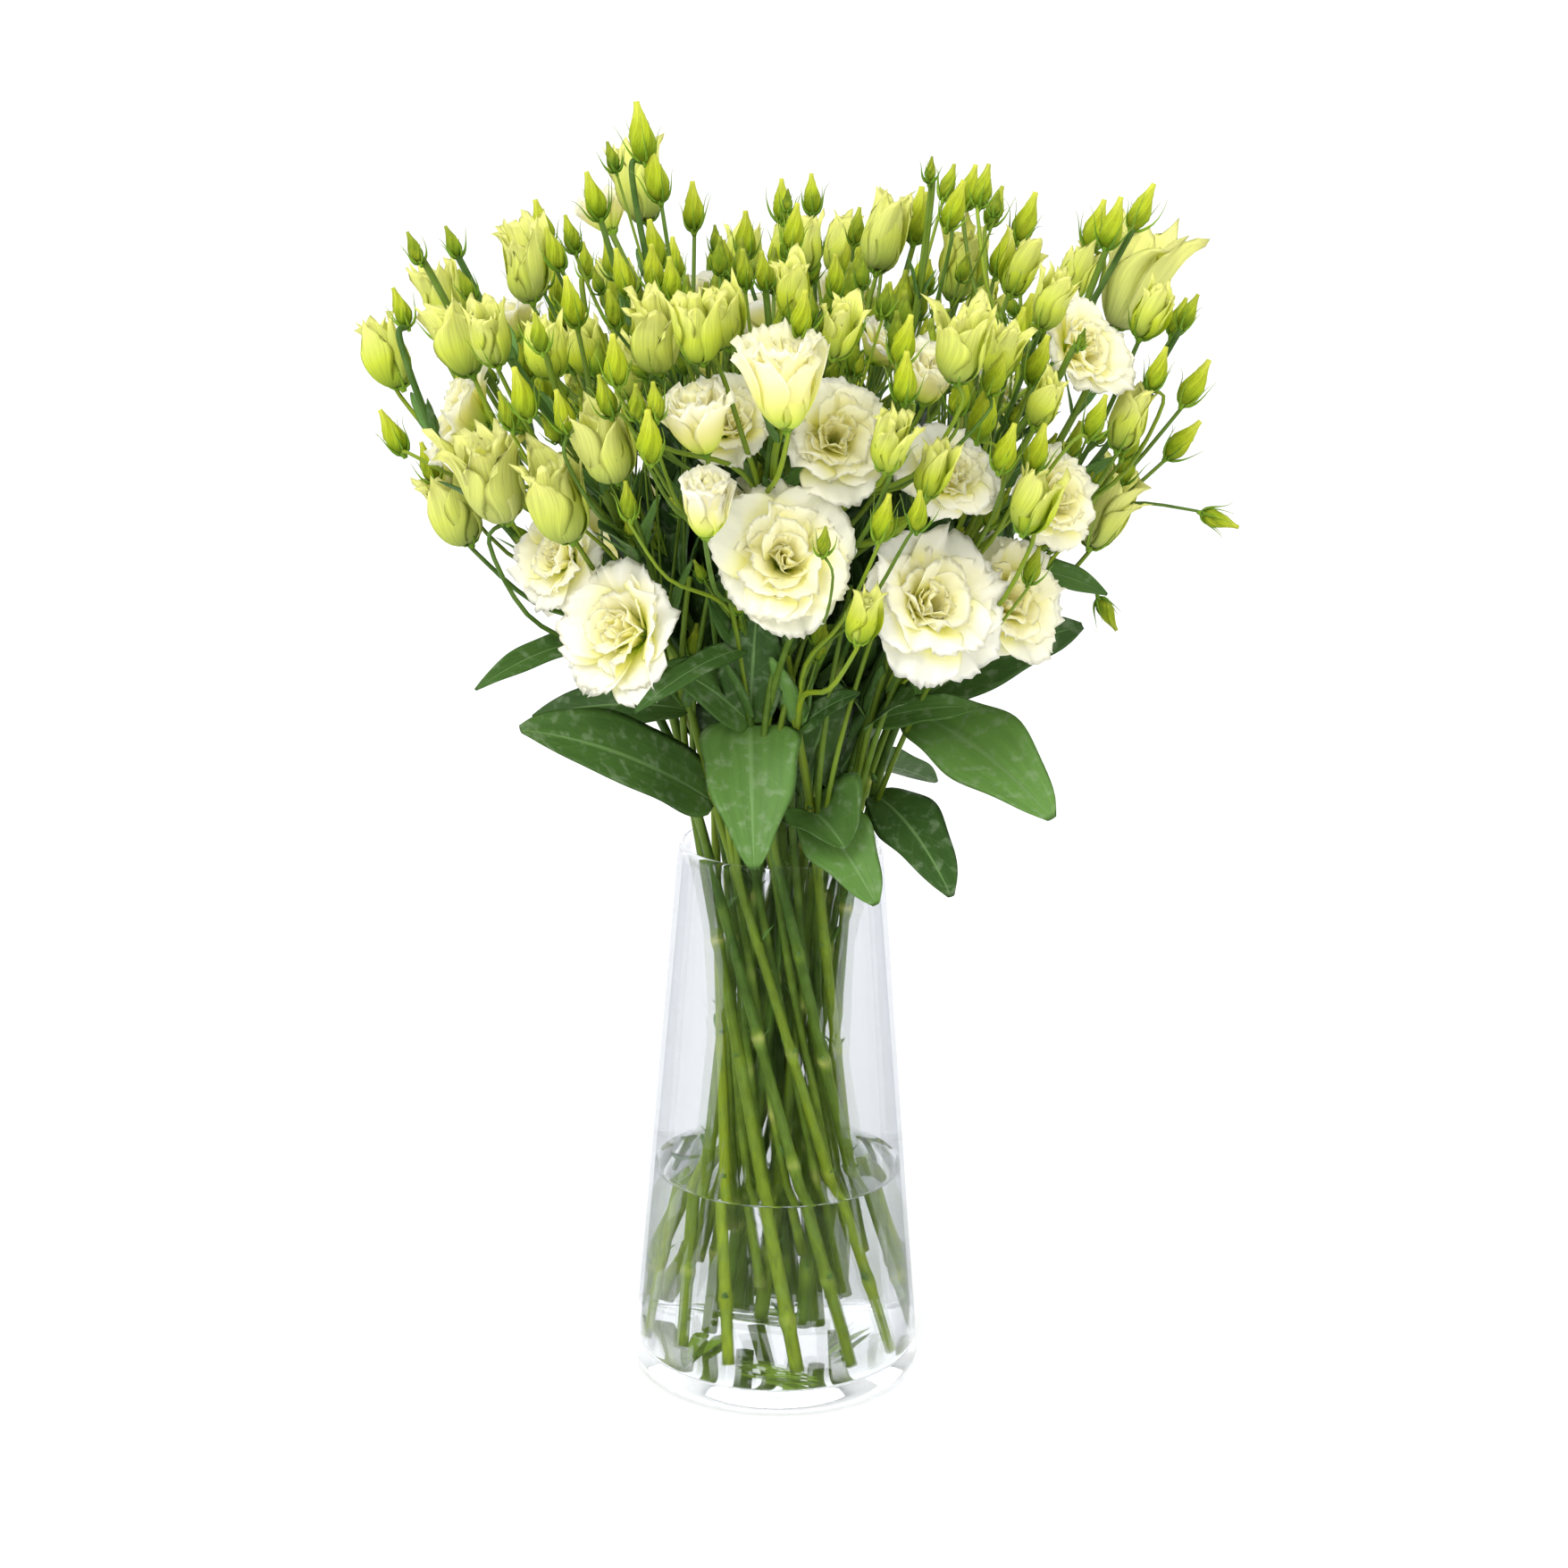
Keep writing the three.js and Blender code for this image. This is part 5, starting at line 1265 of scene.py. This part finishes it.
# %% Sepals as bent tubes
SEPALS, SEPAL_SIDES, SEPAL_SUNK = 5, 3, 0.8
sepal_green = plant_material(
    "sepal green", [(0, (0.09, 0.19, 0.015)), (0.6, (0.12, 0.24, 0.02)), (1, (0.26, 0.31, 0.09))],
    (0.24, 0.38, 0.03), 0.7, count=6, dark=0.15, rough=0.45, bump=0.2)


def sepal_paths(length, start, lean_foot, lean_mid, lean_tip, angle, steps=8):
    """Lines that leave the head's foot and bend in their own upright plane, as a petal's midrib does."""
    s = np.linspace(0, 1, steps)
    bend = 2 * (lean_foot + lean_tip - 2 * lean_mid)
    lean = np.radians(lean_foot[:, None] + (lean_tip - lean_foot - bend)[:, None] * s + bend[:, None] * s**2)
    step = length[:, None] / (steps - 1)
    out = start[:, None] + np.pad(np.cumsum(np.sin(lean[:, :-1]) * step, 1), ((0, 0), (1, 0)))
    up = np.pad(np.cumsum(np.cos(lean[:, :-1]) * step, 1), ((0, 0), (1, 0)))
    return np.stack([out * np.cos(angle)[:, None], out * np.sin(angle)[:, None], up - SEPAL_SUNK], -1)


# %% Sepals of the heads: as long as the head is plump, and leaning out as far as its foot bulges
SEPAL_LENGTH, SHORTEST_SEPAL, LONGEST_SEPAL = 0.78, 7, 21
five = np.repeat(number[drawn], SEPALS)
plump = np.where(kind == CUP, size * 1.2, size * 0.5)
plump = np.where(kind == BUD, size * BUD_LENGTH_SHARE, plump)[five]
sepal_length = np.clip(plump * SEPAL_LENGTH, SHORTEST_SEPAL, LONGEST_SEPAL)
sepal_length = sepal_length * rng.uniform(0.8, 1.25, len(five))
sepal_angle = np.arange(len(five)) % SEPALS / SEPALS * TURN + rng.normal(0, 0.12, len(five))
bulge = np.where(kind == BUD, 58, np.where(kind == CUP, 74, 50))[five]
sepals = sepal_paths(sepal_length, np.full(len(five), 1.2), bulge + rng.normal(0, 3, len(five)),
                     14 + rng.normal(0, 6, len(five)), 44 + rng.normal(0, 26, len(five)), sepal_angle)
sepals = in_place(sepals[:, None], five, 6 * scatter(five, 2))[:, 0]
sepal_radii = np.array([0.9, 1.0, 0.8, 0.56, 0.38, 0.26, 0.18, 0.1])
sepal_share = np.linspace(0, 1, 8)[None, :, None]
tone = scatter(five, 1)[:, None, None]
sepal_parts = [tubes(sepals, sepal_radii[None], SEPAL_SIDES, along=sepal_share, tone=tone)]
print("sepals:", len(five))

# %% Collars: the swollen ends of the pedicels, which the sepals grow from
COLLAR_SIDES = 8
collar = np.linspace(-3.2, 1.6, 5)
collar_size = np.where(kind == BUD, np.clip(size / 20, 0.6, 1), 1.15)[:, None]
collar_radius = np.array([1.15, 1.5, 2.2, 2.4, 1.6]) * collar_size
collar_paths = base[:, None] + axis[:, None] * collar[:, None]
tone = scatter(number[drawn], 1)[:, None, None]
sepal_parts.append(tubes(collar_paths[drawn], collar_radius[drawn], COLLAR_SIDES, along=0.2, tone=tone))

# %% Sepals of the side buds
host = np.repeat(np.arange(len(side_size)), SEPALS)
side_angle = np.tile(np.arange(SEPALS), len(side_size)) / SEPALS * TURN
side_lean = [np.full(len(host), lean) + rng.normal(0, 8, len(host)) for lean in (60, 12, 50)]
side_paths = sepal_paths(side_size[host] * 0.9, np.full(len(host), 0.6), *side_lean, side_angle, 5)
side_paths = placed(side_paths[:, None], side_base[host], side_axis[host], side_size[host])[:, 0]
sepal_parts.append(tubes(side_paths, np.array([0.6, 0.6, 0.4, 0.22, 0.1])[None], SEPAL_SIDES, along=0.4))
piece("sepals", sepal_parts, sepal_green)

# %% [markdown]
# ## Leaves
# Lisianthus leaves are smooth, deep green and waxy, with a pale midrib and faint veins that sweep forward.
# They clasp the stem and bow outwards. Each is one sheet over a curved rib, folded a little along it, with a
# broad oval outline that ends in a point.

# %% Leaf sheets
leaf_skin = plant_material(
    "leaf", [(0, (0.045, 0.10, 0.015)), (0.3, (0.019, 0.054, 0.009)), (1, (0.016, 0.048, 0.008))],
    (0.16, 0.33, 0.065), 0.85, count=7, dark=0.18, rough=0.42, bump=0.6, through=0.10, gloss=0.16,
    blotch=(150, 0.50, 0.70, (0.22, 0.30, 0.17), 0.4), rib=(0.14, 0.25, 0.08))


def leaf_grid(start, end, width, front, arch, rows, columns, fold=0.22, wave=0.05, full=0.66):
    """The rib is a bent line from base to tip, raised in the middle. Across it, the sheet is as wide as a
    power of a sine of the way along, rises to both edges for the fold, and waves a little, and so does its
    outline. The larger the value full, the nearer to the tip the leaf is widest."""
    span = end - start
    length = np.linalg.norm(span, axis=-1, keepdims=True)
    out = unit(start * [1, 1, 0])
    middle = start + 0.45 * span + (0.25 * out + 0.75 * UP) * length * arch
    t = np.linspace(0, 1, rows)[:, None]
    rib = bent_lines(start, middle, end, t)
    way = unit(np.gradient(rib, axis=1))
    side = unit(np.cross(way, front[:, None]))
    face = unit(np.cross(side, way))
    half = width[:, None] * 0.5 * (0.03 + np.sin(np.pi * np.clip(t[:, 0], 0, 0.992) ** full) ** 0.66)
    half = half * (1 + wave * np.sin(14 * t[:, 0] + 25 * width[:, None]))
    u = np.linspace(-1, 1, columns)
    ripple = np.sin(9 * t[:, 0] + 40 * width[:, None])[..., None] * u**2 * np.sign(u) * wave * 2
    lift = (fold * abs(u) ** 1.5 + ripple) * half[..., None]
    aside = side[:, :, None] * (half[..., None] * u)[..., None]
    return rib[:, :, None] + aside + face[:, :, None] * lift[..., None], t[None] + 0 * u, u


# %% Large leaves: one is curled, one broad, one blunt, and three are paler than the others
LEAF_ARCH, LEAF_THICKNESS, CURLED_LEAF, BROAD_LEAF, BLUNT_LEAF, PALE_LEAVES = 0.16, 0.6, 2, 1, 5, [1, 3, 5]
leaf_number = np.arange(len(leaf_width))
leaf_front = np.stack([0 * leaf_width, 0.75 * np.sign(leaf_base[:, 1]), 0.66 + 0 * leaf_width], -1)
leaf_full = 0.64 + 0.24 * scatter(leaf_number, 2)[:, None]
leaf_fold = np.full((len(leaf_width), 1, 1), 0.22)
leaf_fold[CURLED_LEAF] = 0.85
leaf_full[BROAD_LEAF], leaf_full[BLUNT_LEAF] = 0.52, 0.9
grid, along, across = leaf_grid(leaf_base, leaf_tip, leaf_width, leaf_front, LEAF_ARCH, 29, 13, leaf_fold,
                                full=leaf_full)
leaf_tone = 0.1 + 0.3 * scatter(leaf_number, 0)[:, None, None]
leaf_tone[PALE_LEAVES] += 0.35
piece("leaves", [sheets(grid, LEAF_THICKNESS, along, across, leaf_tone)], leaf_skin)

# %% [markdown]
# ## Small leaves and bracts
# Every fork carries a pair of narrow leaves, shorter the higher it is, and the bare stems below keep scales
# where leaves were. The leaves fill the space between the shoots and make the bouquet's middle dark green.

# %% Scales: what is left of the lowest leaves, two at each node of the bare stems
BARE_NODES, SCALE_THICKNESS = 5, 0.4
node_row = abs(stem_length[:, :, None] - node_places[:, None]).argmin(1)[:, :BARE_NODES]
on_stem = np.repeat(stem_number, BARE_NODES)
scale_foot = np.repeat(stem_paths[on_stem, node_row.ravel()], 2, axis=0)
scale_number = np.arange(len(scale_foot))
scale_turn = scale_number % 2 * math.pi + ROUGH_TURN * scatter(scale_number // 2, 2)
scale_spoke = level(scale_turn + rng.normal(0, 0.3, len(scale_foot)))
scale_length = 4 + 9 * scatter(scale_number, 0)[:, None] ** 3
scale_tip = scale_foot + scale_spoke * (3.4 + scale_length * 0.6) + UP * scale_length
grid, along, across = leaf_grid(scale_foot + scale_spoke * 2.4, scale_tip, 1.6 + 0.3 * scale_length[:, 0],
                                unit(UP * 0.5 - scale_spoke), 0.1, 5, 3)
scales = sheets(grid, SCALE_THICKNESS, along * 0.2, across, 1.0)

# %% Dark leaves inside the crown: three at each of the lowest forks of the inner stems
INNER_LENGTH, INNER_LOSS, INNER_UNEVEN, INNER_THICKNESS = 80, 26, 14, 0.5
inner_line = leaders["points"][OUTER_STEMS:]
inner = inner_line[:, :4].reshape(-1, 3)
inner_way = unit(inner_line[:, 1:5] - inner_line[:, :4]).reshape(-1, 3)
trio = np.repeat(np.arange(len(inner)), 3)
trio_number = np.arange(len(trio))
trio_spoke = level(TURN * (trio_number % 3 / 3 + scatter(trio, 1)) + rng.normal(0, 0.25, len(trio)))
inner_height = np.clip((inner[trio, 2] - NECK_HEIGHT) / 150, 0, 1)
trio_length = INNER_LENGTH - INNER_LOSS * inner_height + INNER_UNEVEN * scatter(trio_number, 0)
trio_tip = inner[trio] + unit(inner_way[trio] + 0.55 * trio_spoke) * trio_length[:, None]
grid, along, across = leaf_grid(inner[trio], trio_tip, trio_length * (0.34 + 0.14 * scatter(trio_number, 2)),
                                unit(UP * 0.5 - trio_spoke), 0.1, 11, 5)
inner_leaves = sheets(grid, INNER_THICKNESS, along, across, 0.25 * scatter(trio_number, 3)[:, None, None])
print("scales:", len(scale_foot), "inner leaves:", len(trio))

# %% Scraps: bits of leaf and stem that lie in the water on the glass floor
SCRAPS, SCRAP_LIFT, SCRAP_THICKNESS = 7, 1.5, 0.8
scrap_number = np.arange(SCRAPS)
scrap_turn = TURN * scatter(scrap_number, 1)
scrap_out = 22 + 36 * scatter(scrap_number, 2)
scrap_middle = level(scrap_turn) * scrap_out[:, None] + (FLOOR_HEIGHT + SCRAP_LIFT) * UP
scrap_way = ringwise(scrap_turn) + 0.5 * level(scrap_turn)
scrap_half = scrap_way * (13 + 12 * scatter(scrap_number, 0))[:, None]
scrap_width = 4 + 3 * scatter(scrap_number, 3)
grid, along, across = leaf_grid(scrap_middle - scrap_half, scrap_middle + scrap_half, scrap_width,
                                np.tile(UP, (SCRAPS, 1)), 0.05, 9, 5)
scraps = sheets(grid, SCRAP_THICKNESS, 0.6, across, 1.2)
piece("scraps", [scraps], sepal_green)

# %% Pairs of narrow leaves at the forks
BLADE_THICKNESS = 0.45
knots = leaders["points"][:, 1:6].reshape(-1, 3)
knot_way = unit(leaders["points"][:, 2:7] - leaders["points"][:, 0:5]).reshape(-1, 3)
pair = np.repeat(np.arange(len(knots)), 2)
pair_turn = scatter(pair // 2, 1) * ROUGH_TURN + np.tile([0, math.pi], len(knots))
spoke = level(pair_turn + rng.normal(0, 0.3, len(pair)))
height_share = np.clip((knots[pair, 2] - 340) / 200, 0, 1)
blade_length = (58 - 34 * height_share) * rng.uniform(0.8, 1.2, len(pair))
blade_way = unit(knot_way[pair] + spoke * rng.uniform(0.35, 0.8, len(pair))[:, None])
blade_tip = knots[pair] + blade_way * blade_length[:, None]
blade_front = unit(UP * 0.4 - spoke)
grid, along, across = leaf_grid(knots[pair], blade_tip, blade_length * rng.uniform(0.2, 0.34, len(pair)),
                                blade_front, 0.08, 9, 5)
blades = sheets(grid, BLADE_THICKNESS, along, across, rng.uniform(0.2, 1, len(pair))[:, None, None])
print("narrow leaves:", len(pair))

# %% Bracts: a tiny leaf where each pedicel leaves its stem
forks = pedicels["points"][:, 0]
fork_spoke = level(rng.uniform(0, ROUGH_TURN, len(forks)))
fork_tip = forks + unit(fork_spoke * 0.7 + UP) * rng.uniform(12, 22, len(forks))[:, None]
bract_width = rng.uniform(2.5, 4.5, len(forks))
grid, along, across = leaf_grid(forks, fork_tip, bract_width, unit(UP * 0.4 - fork_spoke), 0.05, 7, 3)
bracts = sheets(grid, SCALE_THICKNESS, along, across, rng.uniform(0.3, 1, len(forks))[:, None, None])
piece("small_leaves", [scales, inner_leaves, blades, bracts], leaf_skin)

# %% [markdown]
# ## The studio
# A pale seamless floor, a bright soft surround, and one large soft light from the upper left, with a weak
# one at the right, give the even light of a product picture. The camera stands where the view was taken from.

# %% Floor
FLOOR_HALF = 60
floor_mesh = bpy.data.meshes.new("studio_floor")
corners = [(x * FLOOR_HALF, y * FLOOR_HALF, 0) for x, y in ((-1, -1), (1, -1), (1, 1), (-1, 1))]
floor_mesh.from_pydata(corners, [], [(0, 1, 2, 3)])
floor = bpy.data.objects.new("studio_floor", floor_mesh)
bpy.context.scene.collection.objects.link(floor)
paper = bpy.data.materials.new("white paper")
paper.use_nodes = True
tree = paper.node_tree
grain = node(tree, "ShaderNodeTexNoise", {"Scale": 40.0, "Detail": 3.0})
tint = mixed(tree, grain.outputs["Fac"], (0.72, 0.72, 0.72, 1), (0.74, 0.74, 0.74, 1))
tree.links.new(tint, tree.nodes["Principled BSDF"].inputs["Base Color"])
tree.nodes["Principled BSDF"].inputs["Roughness"].default_value = 0.9
floor_mesh.materials.append(paper)
print("floor:", 2 * FLOOR_HALF, "m wide")

# %% Light
SURROUND_STRENGTH, LOOK_AT = 1.5, (0, 0, 0.4)
world = bpy.data.worlds.new("studio")
bpy.context.scene.world = world
world.use_nodes = True
surround = world.node_tree.nodes["Background"]
surround.inputs["Color"].default_value = (1, 1, 1, 1)
surround.inputs["Strength"].default_value = SURROUND_STRENGTH
bpy.context.scene.view_settings.view_transform = "Standard"
cycles = bpy.context.scene.cycles
cycles.diffuse_bounces = 14
cycles.glossy_bounces = cycles.transmission_bounces = cycles.max_bounces = 20


def softbox(name, place_at, target, width, power):
    """A square area light of some width that looks at a target."""
    light = bpy.data.lights.new(name, "AREA")
    light.size = width
    light.energy = power
    lamp = bpy.data.objects.new(name, light)
    bpy.context.scene.collection.objects.link(lamp)
    lamp.location = place_at
    lamp.rotation_euler = (Vector(target) - Vector(place_at)).to_track_quat("-Z", "Y").to_euler()
    return lamp


softbox("key_light", (-1.1, -1.7, 2.2), LOOK_AT, 1.4, 60)
softbox("fill_light", (1.6, -1.2, 1.1), LOOK_AT, 1.2, 8)
print("lights:", [light.name for light in bpy.data.lights])

# %% Camera
SENSOR = 36
camera_data = bpy.data.cameras.new("camera")
camera_data.sensor_width = SENSOR
camera_data.lens = SENSOR * VIEW_FOCAL / (2 * VIEW_CENTRE)
camera_data.shift_x = VIEW_SHIFT
camera = bpy.data.objects.new("camera", camera_data)
bpy.context.scene.collection.objects.link(camera)
camera.location = (0, VIEW_Y * MM, VIEW_Z * MM)
camera.rotation_mode = "ZYX"
camera.rotation_euler = (math.pi / 2 - VIEW_PITCH, 0, VIEW_ROLL)
bpy.context.scene.camera = camera
